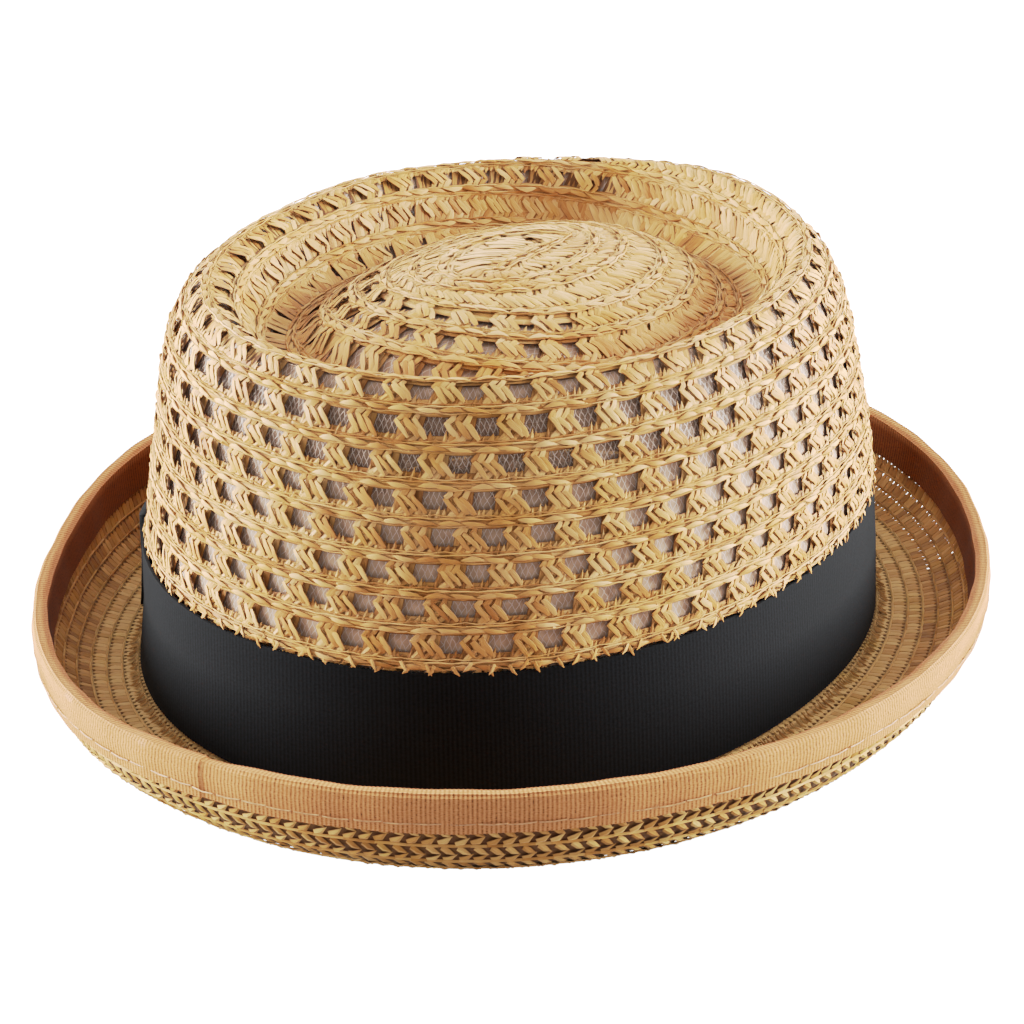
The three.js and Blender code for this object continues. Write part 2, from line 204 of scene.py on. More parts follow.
class Cell:
    """One repeat of flat work in millimetres: x along the row, y down it, z off the surface."""

    def __init__(self):
        self.points, self.faces, self.strands, self.loose, self.grain = [], [], [], [], []
        self.shade, self.rim, self.count = [], [], 0

    def strand(self, path, widths, thick=0.35, flat=True, loose=(1, 1, 1), shade=0.0, tilt=0.0):
        """A split straw along a path of (x, y, z), with a width at each point. A flat one has a
        broad face with bevelled edges, and may be tilted; the others are simple three-sided ones.
        One with its thickness below zero has its face on the work's back."""
        path, widths = np.array(path, float), np.broadcast_to(widths, len(path)).astype(float)
        step = np.gradient(path[:, :2], axis=0)
        step /= np.maximum(np.linalg.norm(step, axis=1, keepdims=True), 1e-9)
        side = np.stack([step[:, 1], -step[:, 0], 0 * step[:, 0]], 1)
        lengths = np.r_[0, np.cumsum(np.linalg.norm(np.diff(path, axis=0), axis=1))]
        if flat:
            section = [(-0.5, -0.2), (-0.41, 0.6), (0.05, 0.85), (0.41, 0.55), (0.5, -0.2)]
        else:
            section = [(-0.5, -0.1), (0.0, 0.9), (0.5, -0.1)]
        if thick < 0:
            section = section[::-1]
        n, start = len(section), len(self.points)
        for k, (point, width) in enumerate(zip(path, widths)):
            tall = thick * min(1.0, width / max(widths.max(), 1e-9) + 0.25)
            for across, rise in section:
                up = rise * tall + across * width * tilt
                self.points.append(point + side[k] * across * width + (0, 0, up))
                self.grain.append((across * width, lengths[k], self.count))
                self.shade.append(shade)
                self.rim.append(abs(across) * 2)
        for k in range(len(path) - 1):
            for j in range(n):
                a, b = start + k * n + j, start + k * n + (j + 1) % n
                self.faces.append((a, b, b + n, a + n))
        self.faces.append(tuple(start + j for j in range(n - 1, -1, -1)))
        self.faces.append(tuple(start + (len(path) - 1) * n + j for j in range(n)))
        self.strands += [self.count] * (len(path) * n)
        self.loose += [loose] * (len(path) * n)
        self.count += 1

    def object(self, name, relief=1.0):
        """The repeat as a hidden object, its strands numbered for the tree that lays it."""
        made = mesh_object(name, np.array(self.points) * (MM, MM, MM * relief), self.faces)
        made.data.set_sharp_from_angle(angle=math.radians(36))
        store(made, "strand", self.strands, "INT")
        store(made, "shade", self.shade)
        store(made, "rim", self.rim)
        store(made, "loose", self.loose, "FLOAT_VECTOR")
        store(made, "grain", self.grain, "FLOAT_VECTOR")
        made.hide_render = True
        return made


def linear(code):
    """A colour of the hex kind, turned linear for a shader."""
    parts = [int(code[k:k + 2], 16) / 255 for k in (1, 3, 5)]
    return (*(c / 12.92 if c <= 0.04045 else ((c + 0.055) / 1.055) ** 2.4 for c in parts), 1.0)


def wire(tree, made, links):
    """Gives inputs of a node a value each, or a socket, or another node's first output."""
    for key, value in links.items():
        if isinstance(value, bpy.types.Node):
            value = value.outputs[0]
        if isinstance(value, bpy.types.NodeSocket):
            tree.links.new(value, made.inputs[key])
        else:
            made.inputs[key].default_value = value


def node(tree, kind, links=None, stops=(), **settings):
    """Adds a node with its settings and wires its inputs. Stops give a colour ramp its places and
    hex colours."""
    made = tree.nodes.new(kind)
    for key, value in settings.items():
        setattr(made, key, value)
    for number, (place, code) in enumerate(stops):
        if number >= len(made.color_ramp.elements):
            made.color_ramp.elements.new(place)
        made.color_ramp.elements[number].position = place
        made.color_ramp.elements[number].color = linear(code)
    wire(tree, made, links or {})
    return made


def new_tree(name, inputs):
    """A geometry tree with named inputs, and the sockets that give them."""
    tree = bpy.data.node_groups.new(name, "GeometryNodeTree")
    tree.interface.new_socket("Geometry", in_out="INPUT", socket_type="NodeSocketGeometry")
    for label, kind in inputs.items():
        tree.interface.new_socket(label, in_out="INPUT", socket_type="NodeSocket" + kind)
    tree.interface.new_socket("Geometry", in_out="OUTPUT", socket_type="NodeSocketGeometry")
    return tree, node(tree, "NodeGroupInput").outputs


def run_tree(name, source, tree, values):
    """Lays the tree on the source object and keeps the result as a plain mesh."""
    modifier = source.modifiers.new(name, "NODES")
    modifier.node_group = tree
    for item in tree.interface.items_tree:
        if item.in_out == "INPUT" and item.name in values:
            modifier[item.identifier] = values[item.name]
    bpy.context.view_layer.update()
    graph = bpy.context.evaluated_depsgraph_get()
    mesh = bpy.data.meshes.new_from_object(source.evaluated_get(graph), depsgraph=graph)
    mesh.name = name
    source.modifiers.remove(modifier)
    bpy.data.objects.remove(source)
    made = bpy.data.objects.new(name, mesh)
    bpy.context.scene.collection.objects.link(made)
    return made


# The tree that lays repeats of flat work on a form: every vertex of the source is one repeat.
LAY, given = new_tree("lay_on_form", {
    "Repeat": "Object", "Form": "Object", "Unevenness": "Vector", "Waviness": "Float",
    "Seed": "Int", "Material": "Material"})
spots = node(LAY, "GeometryNodeMeshToPoints", {"Mesh": given["Geometry"]})
home = node(LAY, "GeometryNodeStoreNamedAttribute", {
    "Geometry": spots, "Name": "home",
    "Value": node(LAY, "GeometryNodeInputPosition")}, data_type="FLOAT_VECTOR")
numbered = node(LAY, "GeometryNodeStoreNamedAttribute", {
    "Geometry": home, "Name": "repeat",
    "Value": node(LAY, "GeometryNodeInputIndex")}, data_type="INT")
gathered = node(LAY, "GeometryNodeSetPosition", {
    "Geometry": numbered, "Position": node(LAY, "ShaderNodeCombineXYZ")})
repeat_shape = node(LAY, "GeometryNodeObjectInfo", {"Object": given["Repeat"]}).outputs["Geometry"]
repeats = node(LAY, "GeometryNodeInstanceOnPoints", {"Points": gathered, "Instance": repeat_shape})
loose_work = node(LAY, "GeometryNodeRealizeInstances", {"Geometry": repeats})
named = {label: node(LAY, "GeometryNodeInputNamedAttribute", {"Name": label}, data_type=kind)
         for label, kind in (("home", "FLOAT_VECTOR"), ("span", "FLOAT_VECTOR"), ("repeat", "INT"),
                             ("strand", "INT"), ("loose", "FLOAT_VECTOR"), ("shade", "FLOAT"),
                             ("flat", "FLOAT_VECTOR"), ("out", "FLOAT_VECTOR"))}
number = node(LAY, "ShaderNodeMath", {0: named["repeat"], 1: 64.0, 2: named["strand"]},
              operation="MULTIPLY_ADD")
shift = node(LAY, "FunctionNodeRandomValue", {
    0: (-1, -1, -1), 1: (1, 1, 1), "ID": number, "Seed": given["Seed"]},
    data_type="FLOAT_VECTOR")
shift = node(LAY, "ShaderNodeVectorMath", {0: shift, 1: named["loose"]},
             operation="MULTIPLY")
placed = node(LAY, "ShaderNodeVectorMath", {
    0: shift, 1: given["Unevenness"],
    2: node(LAY, "GeometryNodeInputPosition")}, operation="MULTIPLY_ADD")
on_map = node(LAY, "ShaderNodeVectorMath", {0: placed, 1: named["span"],
                                            2: named["home"]}, operation="MULTIPLY_ADD")
form = node(LAY, "GeometryNodeObjectInfo", {"Object": given["Form"]}).outputs["Geometry"]
sampled = [node(LAY, "GeometryNodeSampleUVSurface", {
    "Mesh": form, "Value": value, "UV Map": named["flat"], "Sample UV": on_map},
    data_type="FLOAT_VECTOR")
    for value in (node(LAY, "GeometryNodeInputPosition"), named["out"])]
lift = node(LAY, "ShaderNodeVectorMath", {
    0: sampled[1], "Scale": node(LAY, "ShaderNodeSeparateXYZ", {0: placed}).outputs[2]},
    operation="SCALE")
on_form = node(LAY, "ShaderNodeVectorMath", {0: sampled[0], 1: lift}, operation="ADD")
ripples = node(LAY, "ShaderNodeTexNoise", {"Vector": on_form, "Scale": 260.0,
                                           "Detail": 1.0}).outputs["Color"]
ripples = node(LAY, "ShaderNodeVectorMath", {0: ripples, 1: (0.5, 0.5, 0.5)}, operation="SUBTRACT")
ripples = node(LAY, "ShaderNodeVectorMath", {0: ripples, "Scale": given["Waviness"]},
               operation="SCALE")
uneven = node(LAY, "ShaderNodeVectorMath", {0: on_form, 1: ripples},
              operation="ADD")
laid = node(LAY, "GeometryNodeSetPosition", {"Geometry": loose_work,
                                             "Position": uneven})
# Each strand's tone is a random value plus its shade offset, which paints deeper strands and slots
# darker and the brim's rows next to the crown lighter.
tone = node(LAY, "FunctionNodeRandomValue", {"ID": number, "Seed": 7}, data_type="FLOAT")
tone = node(LAY, "ShaderNodeMath", {0: tone.outputs[1], 1: named["shade"]}, operation="ADD")
toned = node(LAY, "GeometryNodeStoreNamedAttribute", {
    "Geometry": laid, "Name": "tone", "Value": tone}, data_type="FLOAT")
finished = node(LAY, "GeometryNodeSetMaterial", {"Geometry": toned,
                                                 "Material": given["Material"]})
node(LAY, "NodeGroupOutput", {0: finished})


def lay_on_form(name, places, repeat, form, unevenness, waviness, material, seed=1):
    """Repeats of flat work on a form. A place is its map point and the map's step per metre."""
    places = np.asarray(places, np.float32)
    source = mesh_object(name + "_places", places[:, :3], [])
    store(source, "span", places[:, 3:], "FLOAT_VECTOR")
    return run_tree(name, source, LAY, {
        "Repeat": repeat, "Form": form, "Unevenness": [u * MM for u in unevenness],
        "Waviness": waviness * MM, "Seed": seed, "Material": material})


def joined(name, objects):
    """Several plain objects made one, with their materials and attributes kept."""
    graph = bmesh.new()
    for made in objects:
        graph.from_mesh(made.data)
    objects[0].data.name = name + "_first"
    graph.to_mesh(objects[0].data)
    graph.free()
    for made in objects[1:]:
        bpy.data.objects.remove(made)
    objects[0].data.name = objects[0].name = name
    return objects[0]


def new_material(name):
    """An empty node material with its principled shader, wired to the output."""
    made = bpy.data.materials.new(name)
    made.use_nodes = True
    tree = made.node_tree
    tree.nodes.clear()
    shader = node(tree, "ShaderNodeBsdfPrincipled")
    node(tree, "ShaderNodeOutputMaterial", {"Surface": shader})
    return made, tree, shader


def straw_material(name, stops, yellow, roughness):
    """Split paper straw, dyed and twisted by machine: each strand has its own random tone, shifted
    by a shade offset that paints deeper strands and slots darker and the brim's rows next to the
    crown lighter, fine ribs of fibre along it, painted shade along its edges for the shadow in the
    gaps between strands, and a slightly waxy face that goes pale where it is seen aslant. Fibre
    ribs are about 0.3 mm apart."""
    made, tree, shader = new_material(name)
    tone = node(tree, "ShaderNodeAttribute", attribute_name="tone").outputs["Fac"]
    grain = node(tree, "ShaderNodeAttribute", attribute_name="grain").outputs["Vector"]
    place = node(tree, "ShaderNodeTexCoord").outputs["Object"]
    stretched = node(tree, "ShaderNodeVectorMath", {0: grain, 1: (3.2, 0.35, 7.0)},
                     operation="MULTIPLY")
    fibres = node(tree, "ShaderNodeTexNoise", {"Vector": stretched, "Scale": 1.0,
                                               "Detail": 3.0}).outputs["Fac"]
    patches = node(tree, "ShaderNodeTexNoise", {"Vector": place, "Scale": 55.0,
                                                "Detail": 2.0}).outputs["Fac"]
    mixed = node(tree, "ShaderNodeMath", {0: tone, 1: 0.42, 2: -0.08}, operation="MULTIPLY_ADD")
    mixed = node(tree, "ShaderNodeMath", {0: fibres, 1: 0.4, 2: mixed},
                 operation="MULTIPLY_ADD")
    mixed = node(tree, "ShaderNodeMath", {0: patches, 1: 0.4, 2: mixed},
                 operation="MULTIPLY_ADD")
    colour = node(tree, "ShaderNodeValToRGB", {"Fac": mixed}, stops=stops)
    dye = node(tree, "ShaderNodeTexNoise", {"Vector": place, "Scale": 95.0,
                                            "Detail": 1.0}).outputs["Fac"]
    dye = node(tree, "ShaderNodeMapRange", {"Value": dye, "From Min": 0.52, "From Max": 0.7,
                                            "To Max": 0.6})
    colour = node(tree, "ShaderNodeMix", {"Factor": dye, "A": colour, "B": linear(yellow)},
                  data_type="RGBA", blend_type="MULTIPLY").outputs["Result"]
    # Painted shade: the colour goes dark brown towards each strand's edges, standing for the shadow
    # in the gaps between strands.
    rim = node(tree, "ShaderNodeAttribute", attribute_name="rim").outputs["Fac"]
    rim = node(tree, "ShaderNodeMapRange", {"Value": rim, "From Min": 0.78, "From Max": 1.0,
                                            "To Max": 0.85})
    colour = node(tree, "ShaderNodeMix", {"Factor": rim, "A": colour, "B": linear("#4A260C")},
                  data_type="RGBA").outputs["Result"]
    bump = node(tree, "ShaderNodeBump", {"Height": fibres, "Strength": 0.5, "Distance": 0.0003})
    wire(tree, shader, {
        "Base Color": colour, "Normal": bump, "Roughness": roughness, "IOR": 1.5,
        "Specular IOR Level": 0.22, "Sheen Weight": 0.15, "Sheen Roughness": 0.4,
        "Sheen Tint": linear("#FFE6C4")})
    return made


STRAW = straw_material("crown_paper_straw", [(0.0, "#5E3410"), (0.28, "#A66932"), (0.5, "#C3894C"),
                                             (1.0, "#E2B07C")], "#F2EAB8", 0.55)

MAP_ROUND = (-0.05, 1.05)
BRAID_PITCH, TIP_PITCH, ROW_HEIGHT = 11.25, 9.9, 8.3

# The form of the crown, unrolled along the braid's turns.
shares = np.linspace(*MAP_ROUND, 265)
turns = np.linspace(FIRST_TURN, LAST_TURN, 185)
crown_net = np.empty((len(turns), len(shares), 3))
for j, start in enumerate(turns):
    angles, round_share, _ = round_shares(crown_point, max(start, INNERMOST))
    whole = np.floor(shares)
    angle = np.interp(shares - whole, round_share, angles)
    crown_net[j] = crown_point(start + turn_step(angle) + whole, angle)
CROWN_FORM = form_object("crown_form", crown_net)


def crown_map(turn, share):
    """A place on the crown form's flat map."""
    return np.array([(share - MAP_ROUND[0]) / (MAP_ROUND[1] - MAP_ROUND[0]),
                     (turn - FIRST_TURN) / (LAST_TURN - FIRST_TURN)])


def braid_repeat(name, kind, seed):
    """One repeat of the braid. Splits at the back lean one way and leave a window open. In front
    of them short splits come down from the lapped edge and steep ones cross them like herringbone.
    The kind is open, narrow for the tip's small windows, slit for the rim's far side, closed, or
    hidden under the band."""
    made, chance = Cell(), np.random.default_rng(seed)

    def split(path, widths, *more, **settings):
        nudge = chance.uniform(-1, 1, (len(path), 3)) * (0.24, 0.2, 0.08)
        nudge += chance.uniform(-0.3, 0.3, 3) * (1, 1, 0)
        made.strand(np.array(path) + nudge, np.array(widths) * chance.uniform(0.82, 1.2),
                    *more, **settings)

    back = {"open": (-7.7, -6.6, -5.5, -4.4), "narrow": (-8.1, -6.7, -5.3, -4.0),
            "slit": (-8.1, -6.8, -5.5, -4.2, -2.8, -1.4)}
    # Painted shade: the back splits and the two cross strands behind them lie deep in the work and
    # are painted darker, more where the windows are open.
    painted_recess_shade = -0.3 if kind == "open" else -0.1
    for x in back.get(kind, (-8.1, -6.7, -5.3, -3.9, -2.5, -1.1, 0.3, 1.7)):
        split([(x + 1.5, 0.2, -0.95), (x, 7.3, -0.6)], (1.9, 1.9), 0.25, flat=False, shade=painted_recess_shade)
    for y, z in ((6.3, -0.55), (7.3, -0.35)):
        made.strand([(-5.75, y, z), (0, y, z), (5.75, y, z)], 1.6, 0.3, flat=False, loose=(0, 0, 0),
                    shade=painted_recess_shade)
    if kind == "hidden":
        return made.object(name)
    # Painted shade: the splits that fill the window's lower part are painted a little darker, for
    # the shadow at the window's lower lip.
    for x in (-2.7, -1.4, -0.2, 1.1, 2.3):
        split([(x - 0.3, 7.3, -0.1), (x + 0.25, chance.uniform(4.3, 5.7), 0.0)], (1.75, 0.1), 0.3,
              flat=False, shade=-0.14)
    for x, y in ((-5.4, 4.3), (-3.9, 5.2), (5.4, 5.2)):
        split([(x, y, -0.1), (x - 1.4, y + 1.5, 0.15), (x - 2.7, y + 2.7, 0.1)],
              (1.4, 1.7, 1.3), 0.3, flat=False, shade=0.02)
    for x, y, tilt in ((-6.9, 0.9, -0.05), (-5.1, 0.8, -0.15), (-3.5, 1.1, -0.15)):
        split([(x, y - 0.3, 0.15), (x - 0.6, y + 0.8, 0.45), (x - 1.5, y + 2.0, 0.25)],
              (1.3, 1.5, 1.3), 0.34, tilt=tilt)
    steeps = [(-8.5, 2.6, 0.1, 1.3), (-6.5, 2.3, 0.15, 1.45), (-4.7, 2.2, 0.25, 1.4)]
    if kind == "closed":
        steeps += [(-2.9, 2.2, 0.2, 2.0), (-1.2, 2.5, 0.15, 1.9), (0.5, 2.2, 0.2, 2.1)]
        for x in (-1.7, 0.0, 1.7, 3.4):
            split([(x, 0.6, 0.15), (x - 0.6, 1.7, 0.45), (x - 1.5, 2.9, 0.25)],
                  (1.7, 2.1, 1.4), 0.34)
    for x, top, lean, width in steeps:
        long = chance.uniform(0.9, 1.12)
        split([(x, top, 0.15 + lean), (x + 1.0, top + 1.1 * long, 0.45 + lean),
               (x + 2.1, top + 2.4 * long, 0.45 + lean), (x + 3.2, top + 3.7 * long, 0.1 + lean)],
              (width * 0.85, width, width, width * 0.6), 0.36, tilt=0.12)
    for y, z, wave, width in ((6.75, 0.35, 0.2, 0.32), (7.4, 0.6, -0.14, 0.42)):
        made.strand([(-5.75, y, z), (-2.6, y + wave, z + 0.2), (0.4, y - wave, z),
                     (3.0, y + wave * 0.7, z + 0.15), (5.75, y, z)],
                    (width, width * 1.4, width * 0.8, width * 1.4, width), 0.32, flat=False,
                    loose=(0, 0.25, 0.3))
    for y, z, width in ((0.05, 0.1, 1.2), (0.2, -0.5, 2.6)):
        made.strand([(-5.75, y, z), (0.0, y + 0.05, z + 0.05), (5.75, y, z)], width, 0.45,
                    flat=False, loose=(0, 0, 0), shade=-0.1)
    return made.object(name, {"open": 0.8, "narrow": 0.6, "slit": 0.5}.get(kind, 0.45))


# Repeats of each kind differ a little, so that no two windows side by side are the same.
BRAIDS = {kind: [braid_repeat("{}_braid_{}".format(kind, k), kind, seed + k) for k in range(count)]
          for kind, seed, count in (("open", 11, 3), ("narrow", 21, 2), ("closed", 31, 2),
                                    ("hidden", 41, 1), ("slit", 51, 2))}

# The lapped edge between two turns: leaf-shaped slivers where a broad split turns over the edge,
# pointed to the right, with thinner twisted ones between them.
lap = Cell()
lap.strand([(-5.4, 0.35, 0.5), (-4.2, 0.1, 0.8), (-2.6, -0.15, 1.05), (-0.9, 0.05, 0.9),
            (1.2, 0.6, 0.4)], (0.2, 1.0, 1.5, 0.9, 0.1), 0.4, loose=(5, 1.2, 0.6), shade=0.12,
           tilt=0.15)
lap.strand([(-0.4, -0.4, 0.6), (1.0, -0.15, 0.9), (2.6, 0.1, 1.0), (4.2, 0.2, 0.8),
            (5.9, 0.7, 0.4)], (0.2, 1.1, 1.2, 0.8, 0.1), 0.38, loose=(5, 1.2, 0.6), shade=0.02,
           tilt=-0.12)
lap.strand([(-6.0, 0.7, 0.5), (-3.0, 0.85, 0.7), (0.4, 0.65, 0.85), (3.6, 0.9, 0.7),
            (6.0, 0.7, 0.5)], (0.3, 0.5, 0.3, 0.5, 0.3), 0.35, flat=False, loose=(2, 0.5, 0.5),
           shade=0.05)
lap.strand([(-4.2, -0.8, 0.4), (-0.7, -0.6, 0.7), (3.0, -0.9, 0.45)], (0.2, 0.45, 0.1), 0.3,
           flat=False, loose=(5, 0.6, 0.5), shade=0.1)
lap.strand([(1.4, 0.95, 0.45), (3.0, 0.75, 0.75), (4.4, 0.95, 0.4)], (0.15, 0.8, 0.1), 0.35,
           flat=False, loose=(6, 0.5, 0.5), shade=0.1)
LAP, TIP_LAP = lap.object("lap_repeat", 0.9), lap.object("tip_lap_repeat", 0.7)

# Broken ends of straw stand out over the band's top edge.
frayed = Cell()
for x, lean, end in ((-4.2, 1.6, 1.5), (-1.1, -1.8, 1.2), (0.9, 1.2, 1.8), (3.6, -1.4, 1.4)):
    frayed.strand([(x, -0.6, 0.8), (x + lean * 0.5, 0.6, 1.3), (x + lean, end, 1.5)],
                  (0.8, 0.9, 0.2), 0.3, loose=(8, 2.6, 1.5))
FRAYED = frayed.object("frayed_ends")

# Repeats along the turns. Where a turn crosses the middle of the back right, its windows are
# stepped by these shares of a repeat against the turn above.
WINDOW_STEPS = {9: 0.0, 10: 0.55, 11: 0.0, 12: -0.15, 13: 0.1, 14: 0.3, 15: 0.5}
STEPS_ANGLE = math.radians(118.8)
QUARTER = 0.25
anchors_turn, anchors_count = [], []
count = 0.0
for turn in np.arange(-2, 21, QUARTER):
    length = round_shares(crown_point, max(turn + QUARTER / 2, INNERMOST), 181)[2]
    pitch = np.interp(turn, (6, 9), (TIP_PITCH, BRAID_PITCH))
    anchors_turn.append(turn)
    anchors_count.append(count)
    count += QUARTER * length / pitch
anchors_turn, anchors_count = np.array(anchors_turn), np.array(anchors_count)
marks = []
for turn, phase in WINDOW_STEPS.items():
    angles, round_share, _ = round_shares(crown_point, turn)
    share = np.interp(STEPS_ANGLE, angles, round_share)
    at = np.interp(turn + share, anchors_turn, anchors_count)
    marks.append((turn + share, round(at - phase) + phase - at))
marks = np.array(marks)
anchors_count = anchors_count + np.interp(anchors_turn, marks[:, 0], marks[:, 1])


ROW_MIDDLE = 0.45
BRAID_ENDS = (-1.75, 19.9)


def places_along(numbers):
    """Where repeats lie: the turn reached, the map point and the map's step per metre in three
    columns each, and the angle round the head."""
    found = []
    for number_in_braid in numbers:
        place = np.interp(number_in_braid, anchors_count, anchors_turn)
        turn, share = math.floor(place), place - math.floor(place)
        angles, round_share, _ = round_shares(crown_point, max(turn + ROW_MIDDLE, INNERMOST), 181)
        angle = np.interp(share, round_share, angles)
        true_turn = turn + turn_step(angle)
        if not BRAID_ENDS[0] <= true_turn <= BRAID_ENDS[1]:
            continue
        length = round_shares(crown_point, max(true_turn + ROW_MIDDLE, INNERMOST), 181)[2]
        spans = crown_map(1 / ROW_HEIGHT, 1 / length) - crown_map(0, 0)
        found.append((true_turn, *crown_map(turn, share), 0, *(spans / MM), 0, angle))
    return np.array(found)


# The slivers on the lapped edge drift to and fro against the windows.
whole_numbers = np.arange(1, int(anchors_count[-1]))
braid_places = places_along(whole_numbers)
lap_places = places_along(whole_numbers + 0.42 * np.sin(0.151 * whole_numbers))
LOOSENESS, WAVINESS = (0.26, 0.22, 0.16), 0.55
CLOSED_TIP, BAND_EDGE, BAND_COVER = 1.5, 16.3, 17.5


def braid_work(places):
    """The braid's repeats sorted by what shows: open on the side and rim, small windows on the
    near part of the tip, slits in the trench and on the rim's far side, closed on the tip's far
    part, round its middle and next to the band, and hidden behind the band."""
    turn, way = places[:, 0], np.degrees(places[:, 7]) % 360
    far_tip = (way > 150) & (way < np.where(turn < 6.0, 335, 290)) & (turn < 8.0)
    slit = (turn > 3.9) & (turn < 9.0) & ((way > 150) | (way < 80))
    slit |= (turn < 9.6) & (way > 245) & (way < 350)
    kinds = np.full(len(places), "open", "U6")
    kinds[turn >= BAND_COVER] = "hidden"
    kinds[turn < 6.0] = "narrow"
    kinds[slit & (turn > CLOSED_TIP)] = "slit"
    kinds[(turn < CLOSED_TIP) | far_tip | (turn >= BAND_EDGE) & (turn < BAND_COVER)] = "closed"
    found = []
    for kind, repeats in BRAIDS.items():
        of_kind = places[kinds == kind][:, 1:7]
        order = (np.arange(len(of_kind)) * 7 // 4) % len(repeats)
        found += [(of_kind[order == k], repeat) for k, repeat in enumerate(repeats)
                  if (order == k).any()]
    return found


for name, first, last in (("straw_tip", -3, 6.0), ("straw_rim", 6.0, 8.99),
                          ("straw_side", 8.99, 12.99), ("straw_side_lower", 12.99, BAND_EDGE),
                          ("straw_foot", BAND_EDGE, 30)):
    work = braid_work(braid_places[(braid_places[:, 0] >= first) & (braid_places[:, 0] < last)])
    lapped = (lap_places[:, 0] >= first) & (lap_places[:, 0] < min(last, 17.3))
    work.append((lap_places[lapped][:, 1:7], LAP if first > 8 else TIP_LAP))
    if name == "straw_tip":
        # A second layer lies under the joints of the first turns, half a repeat and half a row on.
        under = places_along(whole_numbers[:80] + 0.5)
        under = under[under[:, 0] < CLOSED_TIP]
        under[:, 2] += ROW_MIDDLE / (LAST_TURN - FIRST_TURN)
        work.append((under[:, 1:7], BRAIDS["hidden"][0]))
    if name == "straw_side_lower":
        by_band = (lap_places[:, 0] >= 15.6) & (lap_places[:, 0] < 16.5)
        work.append((lap_places[by_band][:, 1:7], FRAYED))
    piece = joined(name, [
        lay_on_form("{}_{}".format(name, k), places, repeat, CROWN_FORM, LOOSENESS, WAVINESS,
                    STRAW, k + 1)
        for k, (places, repeat) in enumerate(work)])
    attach(piece, "root")
    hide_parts("crown")

# NET LINING
# A cap of fine diamond net in lilac grey nylon lies against the straw on the inside and shows in
# the windows. It is a warp-knitted net with holes of about 1.7 by 2.6 mm, sewn in at the foot.

NET_DEPTH, NET_THICKNESS = 1.25, 0.25
NET_THREAD, NET_SPACING, NET_SLANT = 0.075, 1.5, 0.5
NET_ROUND, NET_BACK = 561.0, 36
net_turns = np.r_[np.linspace(-0.95, 8, 40), np.linspace(8.2, 20.7, 26)]
net_angles = np.radians(np.linspace(*ROUND, 145)[:-1])
grid = crown_point(net_turns[:, None], net_angles[None, :])
wide = np.concatenate([grid[:, -1:], grid, grid[:, :1]], 1)
outward = np.cross(np.gradient(grid, axis=0), np.gradient(wide, axis=1)[:, 1:-1])
outward /= np.maximum(np.linalg.norm(outward, axis=2, keepdims=True), 1e-9)
layers = np.concatenate([grid - outward * NET_DEPTH,
                         (grid - outward * (NET_DEPTH + NET_THICKNESS))[::-1]])
rows, columns = layers.shape[:2]
index = np.arange(rows * columns).reshape(rows, columns)
turned = np.roll(index, -1, axis=1)
net_faces = np.stack([index[:-1], index[1:], turned[1:], turned[:-1]], -1).reshape(-1, 4).tolist()
net_faces.append(index[0].tolist())
net_faces.append(index[-1][::-1].tolist())
net = mesh_object("net_cap", layers.reshape(-1, 3) * MM, net_faces)
# The weave is flat on top and unrolled round the side, with the way down taken at the back.
rounds = np.arange(columns) / columns
drop = np.r_[0, np.cumsum(np.linalg.norm(np.diff(grid[:, NET_BACK], axis=0), axis=1))]
drop = np.concatenate([drop, drop[::-1]])
weave = net.data.uv_layers.new(name="weave")
row_of = np.concatenate([net_turns, net_turns[::-1]])
coordinates = np.zeros((len(net.data.loops), 2), np.float32)
flat_points = layers.reshape(-1, 3)
for polygon in net.data.polygons:
    vertices = np.array(polygon.vertices)
    levels, ways = vertices // columns, vertices % columns
    on_top = len(vertices) > 4 or row_of[levels.max()] + row_of[levels.min()] < 16
    wraps = np.ptp(ways) > 5
    for loop, vertex, level, way in zip(polygon.loop_indices, vertices, levels, ways):
        if on_top:
            coordinates[loop] = flat_points[vertex, :2]
        else:
            coordinates[loop] = (rounds[way] + (wraps and way == 0)) * NET_ROUND, drop[level]
weave.data.foreach_set("uv", coordinates.reshape(-1))
# How far the holes are filled: from turn to turn, less at the back left, and more at the sides.
net_ways = np.degrees(net_angles)
at_sides = 0.4 * np.exp(-((net_ways - 36) / 24) ** 2) + 0.85 * np.exp(-((net_ways - 216) / 34) ** 2)
filled = np.interp(row_of, (8.4, 9.2, 10.5, 11.8, 13.2), (0.85, 0.3, 0.3, 0.68, 0.86))
filled = filled[:, None] * (1 - 0.5 * np.exp(-((net_ways - 62) / 28) ** 2))[None, :]
filled = np.maximum(filled, at_sides[None, :])
store(net, "filled", filled)

NET, tree, shader = new_material("nylon_diamond_net")
# Knitted nylon: thin pale threads that cross on a slant. The holes between them are clear high on
# the back and filled with a haze of finer loops lower down, at the sides and on top.
plan = node(tree, "ShaderNodeUVMap", uv_map="weave")
across = node(tree, "ShaderNodeSeparateXYZ", {0: plan})
uneven = node(tree, "ShaderNodeTexNoise", {"Vector": plan, "Scale": 0.35,
                                           "Detail": 1.0}).outputs["Fac"]
threads = []
for sign in (1.0, -1.0):
    slant = node(tree, "ShaderNodeMath", {0: across.outputs[1], 1: sign * NET_SLANT,
                                          2: across.outputs[0]}, operation="MULTIPLY_ADD")
    slant = node(tree, "ShaderNodeMath", {0: uneven, 1: 1.6, 2: slant},
                 operation="MULTIPLY_ADD")
    wave = node(tree, "ShaderNodeMath", {0: slant, 1: NET_SPACING / 2},
                operation="PINGPONG")
    threads.append(node(tree, "ShaderNodeMath", {0: wave, 1: NET_THREAD},
                        operation="LESS_THAN"))
thread = node(tree, "ShaderNodeMath", {0: threads[0], 1: threads[1]}, operation="MAXIMUM")
haze = node(tree, "ShaderNodeAttribute", attribute_name="filled").outputs["Fac"]
